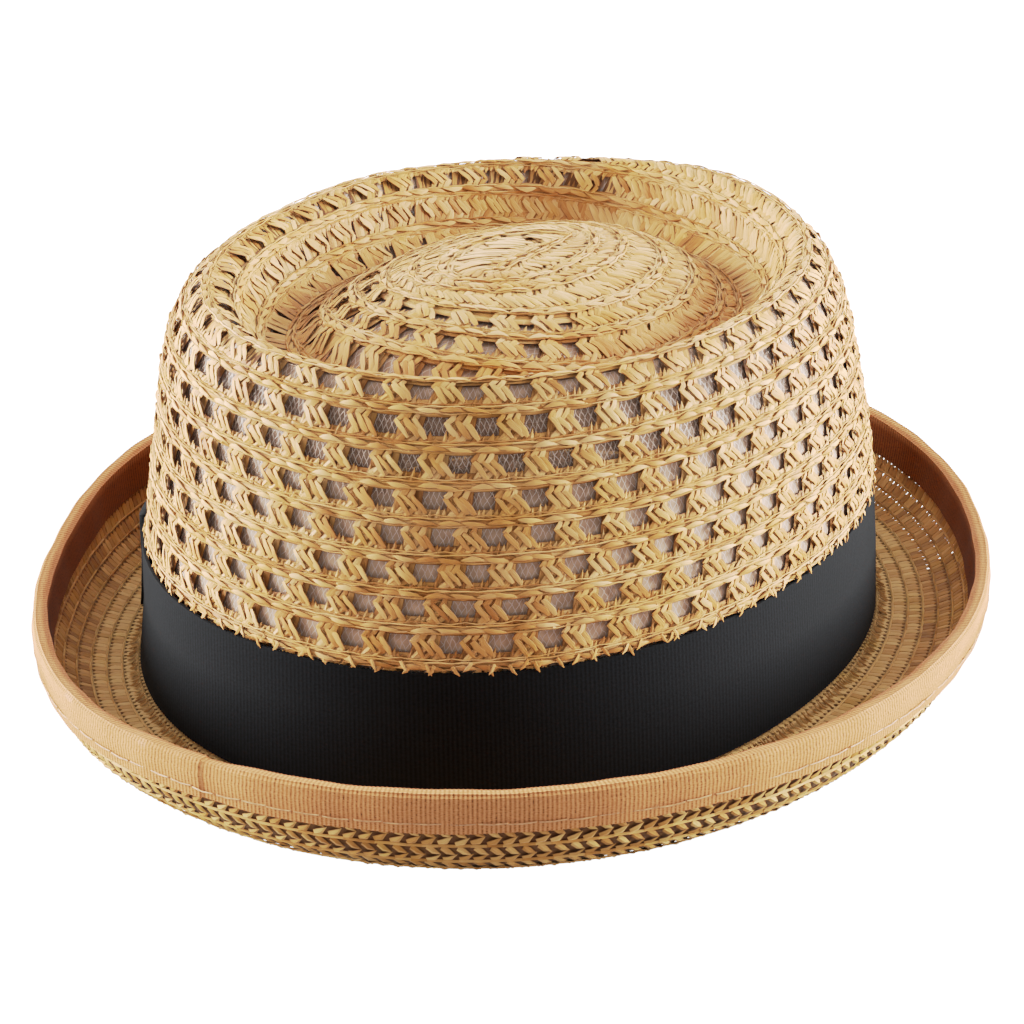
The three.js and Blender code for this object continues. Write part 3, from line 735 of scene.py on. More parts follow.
fuzz = node(tree, "ShaderNodeMath", {0: thread, 1: 0.85}, operation="MULTIPLY")
fuzz = node(tree, "ShaderNodeMath", {0: fuzz, 1: haze}, operation="MAXIMUM")
bare = node(tree, "ShaderNodeValToRGB", {"Fac": uneven}, stops=[
    (0.3, "#AA8369"), (0.7, "#CBA58A")])
pale = node(tree, "ShaderNodeMix", {"Factor": thread, "A": bare, "B": linear("#D2BDB0")},
            data_type="RGBA").outputs["Result"]
wire(tree, shader, {"Base Color": pale, "Alpha": fuzz, "Roughness": 0.45, "IOR": 1.53,
                    "Specular IOR Level": 0.2, "Sheen Weight": 0.05, "Sheen Roughness": 0.4})
net.data.materials.append(NET)
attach(net, "root")
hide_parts("net_lining")

# BRIM STRAW
# The brim is a finer, closed plait of the same straw, sewn row against row from the crown's foot
# outwards and pressed into a deep upward curl. Small holes are left between the rows.

BRIM_OVAL = (86.6, 15.9)
BRIM_REACH = {"mean": 28.9, "left": -4.2, "back": 2.6, "diagonal": -3.9}
BRIM_RISE = {"mean": 26.3, "left": 2.5, "back": -0.9, "diagonal": -5.0}
BRIM_CURVE = 3.2
BRIM_MIDDLE = 0.9
BRIM_STATIONS = (0.5, 89.99)
BRIM_ROWS = 10.5
PLAIT_PITCH, PLAIT_ROW = 3.45, 4.4


def brim_size(sizes, angle):
    """A size of the brim at an angle, in millimetres."""
    return (sizes["mean"] + sizes["left"] * np.cos(angle) + sizes["back"] * np.sin(angle)
            + sizes["diagonal"] * np.sin(2 * angle))


def brim_flare(angle):
    """How much further the brim stands out, at three places where it has been pulled flatter."""
    return sum(far * hump(angle, at, wide)
               for far, at, wide in ((2.2, 17, 13), (2.3, 240, 16), (1.0, 78, 14)))


def oval_out(half_width, half_length, angle, out):
    """A point of an oval, moved outwards by a distance, in millimetres."""
    x, y = oval(half_width, half_length, angle)
    c, s = x / half_width, y / half_length
    nx = np.sign(c) * np.abs(c) ** (OVAL_POWER - 1) / half_width
    ny = np.sign(s) * np.abs(s) ** (OVAL_POWER - 1) / half_length
    size = np.hypot(nx, ny)
    return HEAD_CENTRE[0] + x + out * nx / size, HEAD_CENTRE[1] + y + out * ny / size


def brim_point(angle, station, lift):
    """A point of the brim: its station on the curl in degrees, lifted off the underside."""
    angle, station, lift = np.broadcast_arrays(
        *(np.asarray(value, float) for value in (angle, station, lift)))
    t = np.radians(np.clip(station, *BRIM_STATIONS))
    reach = brim_size(BRIM_REACH, angle) + brim_flare(angle)
    rise = brim_size(BRIM_RISE, angle)
    power = 2 / BRIM_CURVE
    out, up = reach * np.sin(t) ** power, rise * (1 - np.cos(t) ** power)
    d_out = reach * power * np.sin(t) ** (power - 1) * np.cos(t)
    d_up = rise * power * np.cos(t) ** (power - 1) * np.sin(t)
    size = np.hypot(d_out, d_up)
    x, y = oval_out(BRIM_OVAL[0], BRIM_OVAL[0] + BRIM_OVAL[1], angle, out - lift * d_up / size)
    return np.stack([x, y, up + lift * d_out / size], -1)


def brim_stations(angle, levels):
    """Points across the brim, at shares of its width from the crown's foot to the edge."""
    stations = np.linspace(*BRIM_STATIONS, 400)
    points = brim_point(angle, stations, BRIM_MIDDLE)
    inner = np.array([*oval_out(BRIM_OVAL[0], BRIM_OVAL[0] + BRIM_OVAL[1], angle, -2.5),
                      points[0, 2]])
    lengths = np.r_[0, np.cumsum(np.linalg.norm(np.diff(points, axis=0), axis=1))]
    lead = np.linalg.norm(points[0] - inner)
    wanted = np.asarray(levels) * (lengths[-1] + lead) - lead
    found = np.interp(wanted, lengths, stations)
    made = brim_point(angle, found, BRIM_MIDDLE)
    before = wanted < 0
    made[before] = inner + (points[0] - inner) * ((wanted[before] + lead) / lead)[:, None]
    return made


MAP_ACROSS = (-0.05, 1.0)
brim_shares = np.linspace(*MAP_ROUND, 265)
brim_angles, brim_round, _ = round_shares(lambda turn, a: brim_point(a, 60.0, BRIM_MIDDLE), 0)
angle_at = np.interp(brim_shares % 1.0, brim_round, brim_angles)
brim_net = np.stack([brim_stations(a, np.linspace(*MAP_ACROSS, 101)) for a in angle_at], 1)
BRIM_FORM = form_object("brim_form", brim_net)
# The brim's flat work faces its upper side.
outs = np.empty(len(BRIM_FORM.data.vertices) * 3, np.float32)
BRIM_FORM.data.attributes["out"].data.foreach_get("vector", outs)
if outs.reshape(-1, 3)[: len(brim_shares)].mean(0)[2] < 0:
    BRIM_FORM.data.attributes["out"].data.foreach_set("vector", -outs)


def plait_repeat(name, slots_open, painted_light=0.0):
    """One repeat of the plait, from the crown's side outwards: two broad smooth straps over a
    closed back, a row of small slots between their narrow ends, and a cord. The outside has
    leaf-shaped folds like teeth. The painted light makes the straps, the cord and the back lighter,
    for light that falls on the brim's rows next to the crown."""
    made = Cell()
    # Painted shade: the closed back is painted darker, showing as the shadow between the teeth, and
    # the strip that closes the slots is painted darker, for the shadow in the slots.
    made.strand([(-1.74, 1.3, -0.2), (1.74, 1.3, -0.2)], 3.0, 0.4, flat=False, loose=(0, 0, 0),
                shade=painted_light - 0.3)
    if not slots_open:
        made.strand([(-1.74, 3.4, -0.3), (1.74, 3.4, -0.3)], 1.7, 0.2, flat=False, loose=(0, 0, 0),
                    shade=-0.3)
    end = 1.55 if slots_open else 0.85
    for x, lean in ((-0.86, 0.07), (0.86, -0.05)):
        made.strand([(x, -0.1, 0.3), (x + lean, 1.5, 0.45), (x - lean, 2.8, 0.42), (x, 3.3, 0.36),
                     (x, 3.9, 0.3)], (1.8, 1.95, 1.85, end, end), 0.22, loose=(0.35, 0.4, 0.5),
                    tilt=lean, shade=painted_light)
    made.strand([(-1.75, 4.1, 0.4), (0.0, 4.15, 0.6), (1.75, 4.1, 0.4)], (0.75, 0.9, 0.75), 0.42,
                flat=False, loose=(0, 0.4, 0.6), shade=0.1 + painted_light)
    made.strand([(-1.6, 0.4, -0.35), (-0.2, 1.1, -0.8), (1.4, 2.2, -0.6)], (1.5, 1.7, 0.12), -0.4,
                flat=False, tilt=0.2, shade=0.4)
    if not slots_open:
        made.strand([(-1.7, 3.9, -0.4), (-0.3, 3.1, -0.8), (1.3, 2.1, -0.6)],
                    (1.4, 1.4, 0.12), -0.35, flat=False, tilt=-0.2, shade=0.3)
    made.strand([(-1.75, 0.0, -0.5), (1.75, 0.0, -0.5)], 0.75, -0.5, flat=False,
                loose=(0, 0.4, 0.5), shade=0.25)
    return made.object(name)


PLAIT, OPEN_PLAIT = plait_repeat("plait_repeat", False), plait_repeat("open_plait_repeat", True)
# The four rows next to the crown are painted lighter, two by two, as painted light in the gutter
# between the band and the curled brim.
PALE_PLAITS = [plait_repeat("pale_plait_{}".format(k), False, painted_light)
               for k, painted_light in enumerate((1.5, 0.8))]
BRIM_STRAW = straw_material("brim_paper_straw", [
    (0.0, "#5A3814"), (0.3, "#8E5B28"), (0.55, "#AE7638"), (1.0, "#D2A264")], "#F0ECB0", 0.65)

# Loose ends of straw stand up against the hat band at the brim's inner edge.
fringe = Cell()
for x, lean, tall in ((-1.3, 0.35, 1.5), (-0.5, -0.3, 1.9), (0.3, 0.4, 1.4), (1.1, -0.2, 1.8)):
    fringe.strand([(x, 2.6, 0.35), (x + lean * 0.4, 1.0, 0.9), (x + lean, 0.5 - 0.4 * tall, tall)],
                  (0.6, 0.7, 0.12), 0.25, flat=False, loose=(1.2, 1.6, 1.2), shade=0.15)
FRINGE = fringe.object("fringe_repeat")
plait_places, plait_ways = [], []
row_share = 1 / BRIM_ROWS
for row in range(int(BRIM_ROWS - 1.2)):
    level = [(row + 0.5) * row_share]
    ring = np.stack([brim_stations(a, level)[0] for a in np.radians(np.arange(0, 360, 4))])
    length = np.linalg.norm(ring - np.roll(ring, 1, axis=0), axis=1).sum()
    number_in_row = round(length / PLAIT_PITCH)
    spacing = length / number_in_row / PLAIT_PITCH
    for k in range(number_in_row):
        share = (k + 0.5 * (row % 2)) / number_in_row
        way = np.interp(share % 1.0, brim_round, brim_angles)
        plait_ways.append((row, math.degrees(way) % 360))
        plait_places.append(((share - MAP_ROUND[0]) / (MAP_ROUND[1] - MAP_ROUND[0]),
                             (row * row_share - MAP_ACROSS[0]) / (MAP_ACROSS[1] - MAP_ACROSS[0]), 0,
                             spacing / length / (MAP_ROUND[1] - MAP_ROUND[0]) / MM,
                             row_share / PLAIT_ROW / (MAP_ACROSS[1] - MAP_ACROSS[0]) / MM, 0))
plait_places, plait_ways = np.array(plait_places), np.array(plait_ways)
# The outer rows let light through at the front, between these bearings in degrees.
BRIGHTENED_ROWS, INNER_ROWS, PIERCED = 4, 5, (225, 330)
BRIM_LOOSENESS, BRIM_WAVINESS = (0.2, 0.18, 0.1), 0.3
plait_row, plait_way = plait_ways.T
thin = (plait_row >= BRIGHTENED_ROWS) & (plait_way > PIERCED[0]) & (plait_way < PIERCED[1])
inner, brightened = plait_row < INNER_ROWS, plait_row < BRIGHTENED_ROWS
for name, chosen, repeat in (("straw_brim_inner", inner & ~thin & ~brightened, PLAIT),
                             ("straw_brim_outer", ~inner & ~thin, PLAIT),
                             ("straw_brim_pierced", thin, OPEN_PLAIT)):
    brim = lay_on_form(name, plait_places[chosen], repeat, BRIM_FORM, BRIM_LOOSENESS,
                       BRIM_WAVINESS, BRIM_STRAW, 3)
    # The rows next to the crown are laid with the repeats that carry painted light.
    if name == "straw_brim_inner":
        pale = [lay_on_form("pale_rows", plait_places[plait_row // 2 == k], plait, BRIM_FORM,
                            BRIM_LOOSENESS, BRIM_WAVINESS, BRIM_STRAW, 4 + k)
                for k, plait in enumerate(PALE_PLAITS)]
        ends = lay_on_form("straw_ends", plait_places[plait_row == 1], FRINGE, BRIM_FORM,
                           (0.3, 0.3, 0.2), BRIM_WAVINESS, BRIM_STRAW, 9)
        brim = joined(name, [brim, *pale, ends])
    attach(brim, "root")
    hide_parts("brim")

# BRIM BINDING
# A peach tan grosgrain ribbon is folded over the brim's edge and machine stitched through both
# legs. Its ribs cross the edge about 1 mm apart, and its ends overlap at the back right.

BINDING_OUTSIDE, BINDING_INSIDE = 9.0, 10.8
OUTER_FACE, INNER_FACE = -1.1, 2.4
BINDING_RIBS = 800
SEAM_ANGLE = 97.3
STITCH_DEPTH, STITCH_LENGTH, STITCH_GAP = 6.5, 6.3, 0.3


def station_under_edge(angle, depth):
    """The brim's station at a depth below its edge, in millimetres."""
    rise = brim_size(BRIM_RISE, angle)
    return np.degrees(np.arccos(np.clip((depth / rise) ** (BRIM_CURVE / 2), 0, 1)))


def binding_section(angle):
    """The folded ribbon's outline across the edge: outer face up and over, then back inside it."""
    outer = []
    for depth, drawn_in in ((BINDING_OUTSIDE, 0.1), (8.0, 0), (STITCH_DEPTH + 0.7, 0),
                            (STITCH_DEPTH, 0.22), (STITCH_DEPTH - 0.7, 0), (4.6, 0), (3.0, 0),
                            (1.6, 0)):
        outer.append(brim_point(angle, station_under_edge(angle, depth), drawn_in + OUTER_FACE))
    left, right = (brim_point(angle, station_under_edge(angle, 0.9), lift)
                   for lift in (OUTER_FACE, INNER_FACE))
    for turn in np.radians((155, 120, 90, 60, 25)):
        outer.append((left + right) / 2 + (right - left) / 2 * math.cos(turn)
                     + np.array([0, 0, 0.9 * math.sin(turn)]))
    for depth in (1.6, 3.2, 5.2, 7.2, 9.2, BINDING_INSIDE):
        outer.append(brim_point(angle, station_under_edge(angle, depth), INNER_FACE))
    return np.array(outer)


columns = BINDING_RIBS * 2
ring_angles, ring_share, _ = round_shares(lambda turn, a: brim_point(a, 89.0, BRIM_MIDDLE), 0)
binding_angles = np.interp(np.arange(columns) / columns, ring_share, ring_angles)
coarse = np.radians(np.arange(ROUND[0], ROUND[1] + 2, 1.5))
coarse_sections = np.stack([binding_section(a) for a in coarse])
sections = np.stack([[np.interp(binding_angles, coarse, coarse_sections[:, k, c]) for c in range(3)]
                     for k in range(coarse_sections.shape[1])]).transpose(2, 0, 1)


def ribbon_mesh(name, sections, thickness, ribs, lift=None):
    """A closed ribbon round the hat from its face's sections [round][across]. Every other section
    is the top of a rib."""
    along = np.roll(sections, -1, axis=0) - np.roll(sections, 1, axis=0)
    across = np.gradient(sections, axis=1)
    outward = np.cross(across, along)
    outward /= np.linalg.norm(outward, axis=2, keepdims=True)
    if lift is not None:
        sections = sections + outward * lift[:, None, None]
    kept = np.unique(np.r_[np.arange(0, sections.shape[1], 3), sections.shape[1] - 1])
    back = (sections - outward * thickness)[:, kept[::-1]]
    closed = np.concatenate([sections, back], 1)
    count, wide = closed.shape[:2]
    index = np.arange(count * wide).reshape(count, wide)
    around, turned = np.roll(index, -1, axis=0), np.roll(index, -1, axis=1)
    faces = np.stack([index, turned, np.roll(around, -1, axis=1), around], -1).reshape(-1, 4)
    made = mesh_object(name, closed.reshape(-1, 3) * MM, faces[:, ::-1])
    made.data.set_sharp_from_angle(angle=math.radians(50))
    store(made, "rib", np.repeat(np.arange(count) % 2, wide))
    shares = np.repeat(np.arange(count) / count * ribs, wide)
    spread = np.linspace(0, 1, sections.shape[1])
    spread = np.r_[spread, spread[kept[::-1]]]
    store(made, "weave", np.stack([shares, np.tile(spread, count), np.zeros(count * wide)], -1),
          "FLOAT_VECTOR")
    return made


RIB, given = new_tree("grosgrain_ribs", {"Rib Height": "Float", "Material": "Material"})
phase = node(RIB, "GeometryNodeInputNamedAttribute", {"Name": "rib"}, data_type="FLOAT")
height = node(RIB, "ShaderNodeMath", {0: phase, 1: given["Rib Height"]}, operation="MULTIPLY")
raised = node(RIB, "ShaderNodeVectorMath", {
    0: node(RIB, "GeometryNodeInputNormal"), "Scale": height}, operation="SCALE")
ribbed = node(RIB, "GeometryNodeSetPosition", {"Geometry": given["Geometry"],
                                               "Offset": raised})
whole = node(RIB, "GeometryNodeRealizeInstances", {"Geometry": ribbed})
cloth = node(RIB, "GeometryNodeSetMaterial", {"Geometry": whole,
                                              "Material": given["Material"]})
node(RIB, "NodeGroupOutput", {0: cloth})


def grosgrain_material(name, dark, middle, light, inside, sheen, roughness, gloss):
    """Grosgrain ribbon: fat weft cords under a fine silky warp. Cords are 1 mm apart, each takes
    the light on its crown and goes dark in the groove beside it, and the warp beads it finely."""
    made, tree, shader = new_material(name)
    weave = node(tree, "ShaderNodeAttribute", attribute_name="weave").outputs["Vector"]
    parts = node(tree, "ShaderNodeSeparateXYZ", {0: weave})
    near = node(tree, "ShaderNodeMath", {0: parts.outputs[0], 1: 0.5}, operation="PINGPONG")
    ribs = node(tree, "ShaderNodeTexNoise", {"Vector": node(tree, "ShaderNodeVectorMath", {
        0: weave, 1: (1.3, 60.0, 1.0)}, operation="MULTIPLY"), "Scale": 1.0,
        "Detail": 2.0}).outputs["Fac"]
    depth = node(tree, "ShaderNodeMath", {0: near, 1: 1.1, 2: 0.0}, operation="MULTIPLY_ADD")
    depth = node(tree, "ShaderNodeMath", {0: ribs, 1: 0.8, 2: depth},
                 operation="MULTIPLY_ADD")
    colour = node(tree, "ShaderNodeValToRGB", {"Fac": depth}, stops=[
        (0.3, dark), (0.5, middle), (0.95, light)])
    # Painted shade: from 0.6 to 0.75 of the way across the ribbon the colour is multiplied by the
    # inside colour, darkening the binding's inner leg, which lies in the crown's shade; a white
    # inside colour, as on the black ribbon, changes nothing.
    inner_leg_shade = node(tree, "ShaderNodeMapRange", {"Value": parts.outputs[1], "From Min": 0.6,
                                                "From Max": 0.75})
    colour = node(tree, "ShaderNodeMix", {"Factor": inner_leg_shade, "A": colour, "B": linear(inside)},
                  data_type="RGBA", blend_type="MULTIPLY").outputs["Result"]
    bump = node(tree, "ShaderNodeBump", {"Height": ribs, "Strength": 0.25, "Distance": 0.0002})
    wire(tree, shader, {
        "Base Color": colour, "Normal": bump, "Roughness": roughness, "IOR": 1.5,
        "Sheen Weight": sheen, "Sheen Roughness": 0.4, "Specular IOR Level": gloss})
    return made


def binding_lift(angle):
    """How far the ribbon stands off at an angle: the lapped end, and slight ripples."""
    past_seam = np.degrees(angle) - SEAM_ANGLE
    lapped = np.where(past_seam >= 0, 0.3 * np.exp(-(np.maximum(past_seam, 0) / 5.0) ** 2), 0)
    return lapped + 0.12 * np.sin(angle * 23) + 0.08 * np.sin(angle * 51 + 1.0)


# Its inner leg is painted darker with the tint #A07E48, for the shade that it lies in.
TAN_RIBBON = grosgrain_material("tan_grosgrain", "#48270F", "#9E6236", "#C48558", "#A07E48",
                                sheen=0.04, roughness=0.6, gloss=0.1)
binding = ribbon_mesh("ribbon_binding", sections, 0.45, BINDING_RIBS, binding_lift(binding_angles))
binding = run_tree("ribbon_binding", binding, RIB, {"Rib Height": 0.16 * MM,
                                                    "Material": TAN_RIBBON})
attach(binding, "root")
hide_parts("brim_binding")

# The binding's stitching: one row of long running stitches in pale peach thread, 6.5 mm under the
# edge. They lie on a strip of the ribbon's outer face, which runs between two depths.
STRIP_DEPTHS = (2, 12)
strip = np.stack([brim_point(angle_at, station_under_edge(angle_at, depth),
                             -1.25 - binding_lift(angle_at))
                  for depth in np.linspace(*STRIP_DEPTHS, 21)])
STITCH_FORM = form_object("stitch_form", strip)
stitch = Cell()
stitch.strand([(-3.15, 0, -0.2), (-2.95, 0.05, 0.15), (0, 0.1, 0.25), (2.95, -0.05, 0.15),
               (3.15, 0, -0.2)], (0.25, 0.34, 0.36, 0.34, 0.25), 0.2)
STITCH = stitch.object("stitch_repeat")
THREAD, tree, shader = new_material("peach_polyester_thread")
# Spun polyester: smooth, a little shiny, with a twist about 0.5 mm long.
place = node(tree, "ShaderNodeTexCoord").outputs["Object"]
twist = node(tree, "ShaderNodeTexNoise", {"Vector": place, "Scale": 900.0}).outputs["Fac"]
twisted = node(tree, "ShaderNodeValToRGB", {"Fac": twist}, stops=[
    (0.3, "#9E6A40"), (0.7, "#C49266")])
wire(tree, shader, {"Base Color": twisted, "Roughness": 0.45})
edge_length = np.linalg.norm(np.diff(strip[10], axis=0), axis=1).sum()
edge_length /= MAP_ROUND[1] - MAP_ROUND[0]
number_of_stitches = round(edge_length / (STITCH_LENGTH + STITCH_GAP))
stitch_places = [((k / number_of_stitches - MAP_ROUND[0]) / (MAP_ROUND[1] - MAP_ROUND[0]),
                  (STITCH_DEPTH - STRIP_DEPTHS[0]) / 10, 0,
                  1 / edge_length / (MAP_ROUND[1] - MAP_ROUND[0]) / MM, 1 / 10 / MM, 0)
                 for k in range(number_of_stitches)]
stitches = lay_on_form("binding_stitches", stitch_places, STITCH, STITCH_FORM, (0.5, 0.12, 0.05),
                       0.0, THREAD, 5)
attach(stitches, "root")

# HAT BAND
# A black grosgrain ribbon about 34 mm wide goes once round the crown's foot and is tacked on.

# Half width, extra half length and height of the band's upper and lower edge.
BAND_TOP, BAND_FOOT = (83.7, 17.4, 36.5), (86.6, 15.9, 2.4)
BAND_RIBS, BAND_WIDTH = 560, 34.1


def band_point(angle, height, out):
    """A point of the band at a height, moved outwards off its face."""
    share = (height - BAND_FOOT[2]) / (BAND_TOP[2] - BAND_FOOT[2])
    half_width = BAND_FOOT[0] + (BAND_TOP[0] - BAND_FOOT[0]) * share
    extra = BAND_FOOT[1] + (BAND_TOP[1] - BAND_FOOT[1]) * share
    dip = np.interp(share, (0, 0.1, 0.3, 0.6, 1), (0.3, 1.0, 1.5, 1.4, 0.5))
    x, y = oval_out(half_width, half_width + extra, angle, out - side_dip(angle) * dip)
    return np.stack([x, y, np.broadcast_to(height, np.shape(x))], -1)


band_angles, band_share, _ = round_shares(lambda turn, a: band_point(a, 20.0, 0.0), 0)
around = np.interp(np.arange(BAND_RIBS * 2) / (BAND_RIBS * 2), band_share, band_angles)
slack = 0.35 * np.sin(around * 5 + 0.6) + 0.25 * np.sin(around * 11)
band_sections = np.stack([
    band_point(around, h, 0.25 * math.sin(math.pi * (h - BAND_FOOT[2]) / BAND_WIDTH) + 0.1 * slack)
    for h in np.linspace(BAND_FOOT[2] + 0.1, BAND_TOP[2], 7)], 1)
BLACK_RIBBON = grosgrain_material("black_grosgrain", "#040405", "#090A0B", "#111316", "#FFFFFF",
                                  sheen=0.02, roughness=0.7, gloss=0.05)
band = ribbon_mesh("ribbon_band", band_sections, 0.8, BAND_RIBS)
band = run_tree("ribbon_band", band, RIB, {"Rib Height": 0.18 * MM, "Material": BLACK_RIBBON})
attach(band, "root")
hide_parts("hat_band")

# BOW AND KNOT
# A flat tailored bow of the same black ribbon sits on the wearer's left: one loop each way,
# pressed flat, and a short tab wrapped over its middle.

BOW_ANGLE, LOOP_REACH, KNOT_HALF = math.radians(15), 41.0, 6.4
walk = np.radians(np.linspace(-40, 80, 2401))
walked = np.linalg.norm(np.diff(band_point(walk, 20.0, 0.0), axis=0), axis=1)
walked = np.r_[0, np.cumsum(walked)]
walked -= np.interp(BOW_ANGLE, walk, walked)


def on_band(along, height, out):
    """A point off the band's face, a distance along it from the middle of the bow."""
    return band_point(np.interp(along, walked, walk), height, out)


def loop_sections(reach):
    """A flat loop's outline at steps from its folded end to the knot, as closed rings."""
    rings = []
    for along in np.linspace(reach, 0, 60):
        share = abs(along) / LOOP_REACH
        low = np.interp(share, (0, 0.2, 0.5, 0.83, 1), (17.0, 15.8, 12.8, 10.0, 9.0))
        high = np.interp(share, (0, 0.2, 0.5, 0.83, 1), (32.2, 33.0, 34.2, 34.8, 34.4))
        depth = np.interp(share, (0, 0.2, 0.5, 0.83, 0.97, 1), (1.5, 1.9, 2.2, 2.5, 2.7, 2.5))
        ring = []
        for k in range(12):
            height = low + (high - low) * k / 11
            pleat = 0.35 * math.cos(k / 11 * 4 * math.pi) * max(0.0, 1 - share * 2.2)
            ring.append(on_band(along, height, 0.4 + depth + pleat))
        for k in range(11, -1, -1):
            ring.append(on_band(along, low + (high - low) * k / 11, 0.35))
        rings.append(ring)
    return np.array(rings)


def tube_mesh(name, rings, ribs, run=0):
    """A closed piece of ribbon from rings of points, with the weave's place on it."""
    count, wide = rings.shape[:2]
    index = np.arange(count * wide).reshape(count, wide)
    turned = np.roll(index, -1, axis=1)
    faces = np.stack([index[:-1], turned[:-1], turned[1:], index[1:]], -1).reshape(-1, 4).tolist()
    faces += [index[0][::-1].tolist(), index[-1].tolist()]
    made = mesh_object(name, rings.reshape(-1, 3) * MM, faces)
    facing = bmesh.new()
    facing.from_mesh(made.data)
    bmesh.ops.recalc_face_normals(facing, faces=facing.faces)
    facing.to_mesh(made.data)
    facing.free()
    made.data.shade_smooth()
    steps = np.repeat(np.linspace(0, ribs, count), wide)
    sideways = np.tile(np.linspace(0, 1, wide), count)
    store(made, "weave", np.stack([steps, sideways, np.full(count * wide, float(run))], -1),
          "FLOAT_VECTOR")
    store(made, "rib", np.repeat(np.arange(count) % 2, wide))
    return made


for name, reach, run in (("bow_loop_left", LOOP_REACH, 1), ("bow_loop_right", -LOOP_REACH, 2)):
    loop = tube_mesh(name, loop_sections(reach), LOOP_REACH, run)
    loop = run_tree(name, loop, RIB, {"Rib Height": 0.1 * MM, "Material": BLACK_RIBBON})
    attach(loop, "root")
    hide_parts("band_bow")

# The knot's tab runs up over the loops: height and distance off the band.
path = np.array([(4.6, 0.5), (9.0, 0.7), (13.5, 1.2), (16.0, 2.6), (19.0, 3.2), (25.0, 3.4),
                 (30.5, 3.2), (33.4, 2.4), (35.4, 0.9), (35.9, 0.4)])
knot_rings = []
steps = np.linspace(0, len(path) - 1, 60)
for height, out in zip(np.interp(steps, range(len(path)), path[:, 0]),
                       np.interp(steps, range(len(path)), path[:, 1])):
    ring = [on_band(a, height, out + 0.35 - 0.25 * (a / KNOT_HALF) ** 4)
            for a in np.linspace(-KNOT_HALF, KNOT_HALF, 10)]
    ring += [on_band(a, height, 0.2) for a in np.linspace(KNOT_HALF, -KNOT_HALF, 10)]
    knot_rings.append(ring)
knot = tube_mesh("bow_knot_tab", np.array(knot_rings), 30, 3)
knot = run_tree("bow_knot_tab", knot, RIB, {"Rib Height": 0.08 * MM, "Material": BLACK_RIBBON})
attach(knot, "root")
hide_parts("bow_knot")

# The forms and repeats have done their work.
for helper in (*sum(BRAIDS.values(), []), LAP, TIP_LAP, FRAYED, CROWN_FORM, PLAIT, OPEN_PLAIT,
               *PALE_PLAITS, FRINGE, BRIM_FORM, STITCH, STITCH_FORM):
    bpy.data.objects.remove(helper)

# FLOOR, LIGHT AND CAMERA
# A white light table in soft studio light, seen from the hat's back right, a little from above.

floor = mesh_object("floor", [(-6, -6, 0), (6, -6, 0), (6, 6, 0), (-6, 6, 0)], [(0, 1, 2, 3)],
                    smooth=False)
WHITE, tree, shader = new_material("lit_white_acrylic")
# Opal acrylic lit from below: a matt pale grey that shades softly under the hat and is seen as
# plain white round it. The glow is cut out in an oval under the brim and lights nothing else.
place = node(tree, "ShaderNodeTexCoord").outputs["Object"]
dust = node(tree, "ShaderNodeTexNoise", {"Vector": place, "Scale": 3.0}).outputs["Fac"]
opal = node(tree, "ShaderNodeValToRGB", {"Fac": dust}, stops=[(0.3, "#A6A6A6"), (0.7, "#AAAAAA")])
wire(tree, shader, {"Base Color": opal})
wire(tree, shader, {"Roughness": 0.9, "Specular IOR Level": 0.1,
                    "Emission Color": linear("#FFFFFF")})
oval_place = node(tree, "ShaderNodeVectorMath", {
    0: place, 1: (1.19, 1.0, 1.0), 2: (-0.0051, 0.0028, 0.0)}, operation="MULTIPLY_ADD")
reach = node(tree, "ShaderNodeVectorMath", {0: oval_place},
             operation="LENGTH").outputs["Value"]
shown = node(tree, "ShaderNodeLightPath").outputs["Is Camera Ray"]
lit = node(tree, "ShaderNodeMapRange", {"Value": reach, "From Min": 0.106, "From Max": 0.109,
                                        "To Max": 4.5})
lit = node(tree, "ShaderNodeMath", {0: lit, 1: shown}, operation="MULTIPLY")
wire(tree, shader, {"Emission Strength": lit})
floor.data.materials.append(WHITE)

world = bpy.data.worlds.new("white_studio")
bpy.context.scene.world = world
world.use_nodes = True
wire(world.node_tree, world.node_tree.nodes["Background"], {0: linear("#FFFFFF")})
# The camera's bearing, its distance and the point that it looks at, found from the hat's outline.
azimuth, elevation, CAMERA_DISTANCE = math.radians(216.57), math.radians(25.74), 701.9
backwards = np.array([math.sin(azimuth) * math.cos(elevation),
                      -math.cos(azimuth) * math.cos(elevation), math.sin(elevation)])
sideways = np.array([math.cos(azimuth), math.sin(azimuth), 0])
target = np.array([*HEAD_CENTRE, 29.61]) + sideways * -0.76

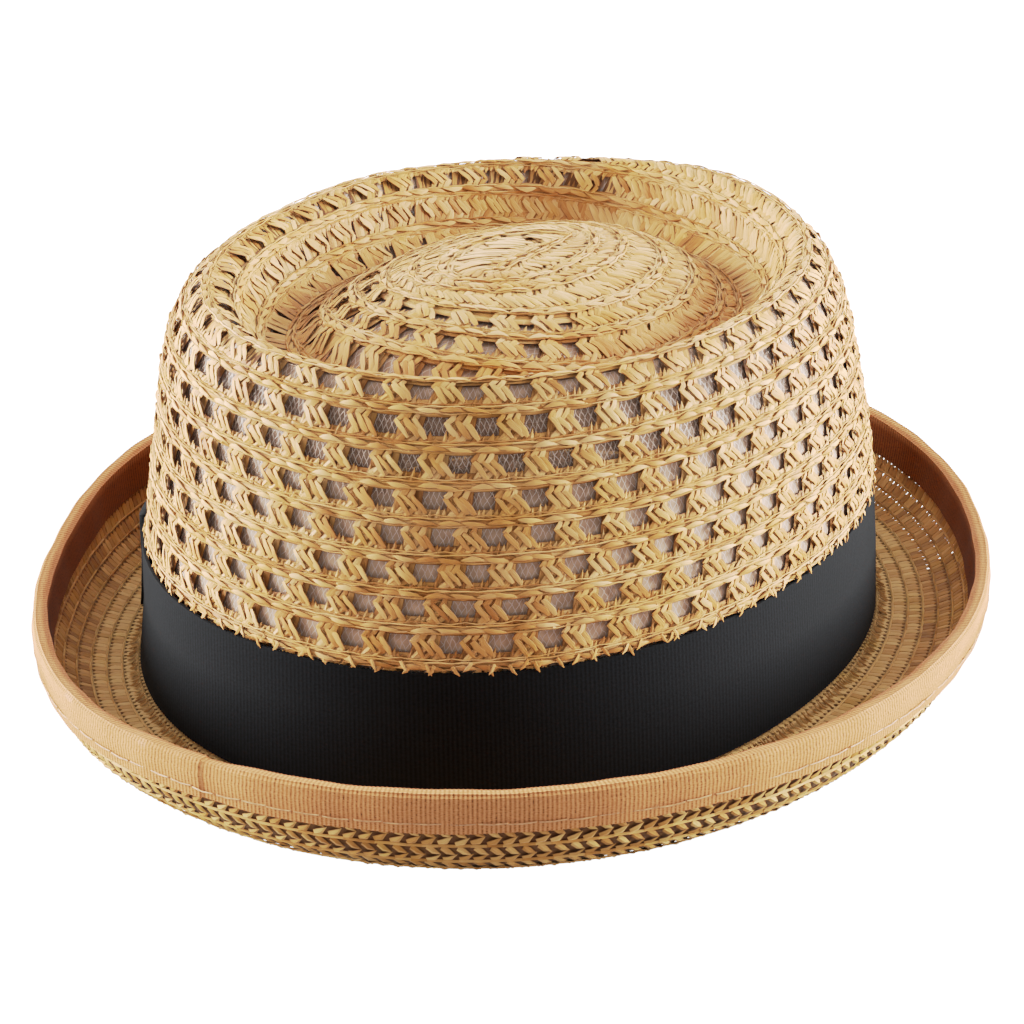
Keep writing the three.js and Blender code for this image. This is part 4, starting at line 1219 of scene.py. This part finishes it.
# White cloth hangs behind, above and at both sides of the hat; the camera's side is darker.
flat_back = np.array([backwards[0], backwards[1], 0]) / np.linalg.norm(backwards[:2])
tent = world.node_tree
way = node(tent, "ShaderNodeTexCoord").outputs["Generated"]
front = node(tent, "ShaderNodeVectorMath", {0: way, 1: tuple(flat_back + (0, 0, 0.5))},
             operation="DOT_PRODUCT")
cloth = node(tent, "ShaderNodeMapRange", {
    "Value": front.outputs["Value"], "From Min": 0.1, "From Max": 0.8, "To Min": 2.3,
    "To Max": 0.54})
seen = node(tent, "ShaderNodeLightPath").outputs["Is Camera Ray"]
cloth = node(tent, "ShaderNodeMix", {"Factor": seen, "A": cloth, "B": 4.5}, data_type="FLOAT")
wire(tent, tent.nodes["Background"], {1: cloth})


def soft_light(name, direction, distance, size, power):
    """A square softbox aimed at the hat from a direction in the camera's terms."""
    lamp = bpy.data.lights.new(name, "AREA")
    lamp.shape, lamp.size, lamp.energy = "SQUARE", size, power
    made = bpy.data.objects.new(name, lamp)
    bpy.context.scene.collection.objects.link(made)
    way = sideways * direction[0] + flat_back * direction[1] + np.array([0, 0, 1]) * direction[2]
    way = way / np.linalg.norm(way)
    made.location = target * MM + way * distance
    made.rotation_mode = "QUATERNION"
    made.rotation_quaternion = mathutils.Vector(-way).to_track_quat("-Z", "Y")


for name, side in (("left_softbox", -1.0), ("right_softbox", 1.0)):
    soft_light(name, (side, -0.15, 0.13), 1.1, 0.8, 90)

camera_data = bpy.data.cameras.new("camera")
camera = bpy.data.objects.new("camera", camera_data)
bpy.context.scene.collection.objects.link(camera)
camera_data.lens, camera_data.sensor_width = 96.76, 36.0
camera.location = (target + backwards * CAMERA_DISTANCE) * MM
camera.rotation_euler = (math.pi / 2 - elevation, 0, azimuth)
bpy.context.scene.camera = camera
# The picture has a photograph's soft shoulder: bright parts are held back and lose some colour.
view = bpy.context.scene.view_settings
view.view_transform = "Standard"
view.use_curve_mapping = True
view.curve_mapping.white_level = (4.0, 4.0, 4.0)
shoulder = view.curve_mapping.curves[3].points
for place, height in ((0.06, 0.24), (0.09, 0.355), (0.15, 0.5), (0.25, 0.62), (0.4, 0.73),
                      (0.65, 0.87)):
    shoulder.new(place, height)
view.curve_mapping.update()
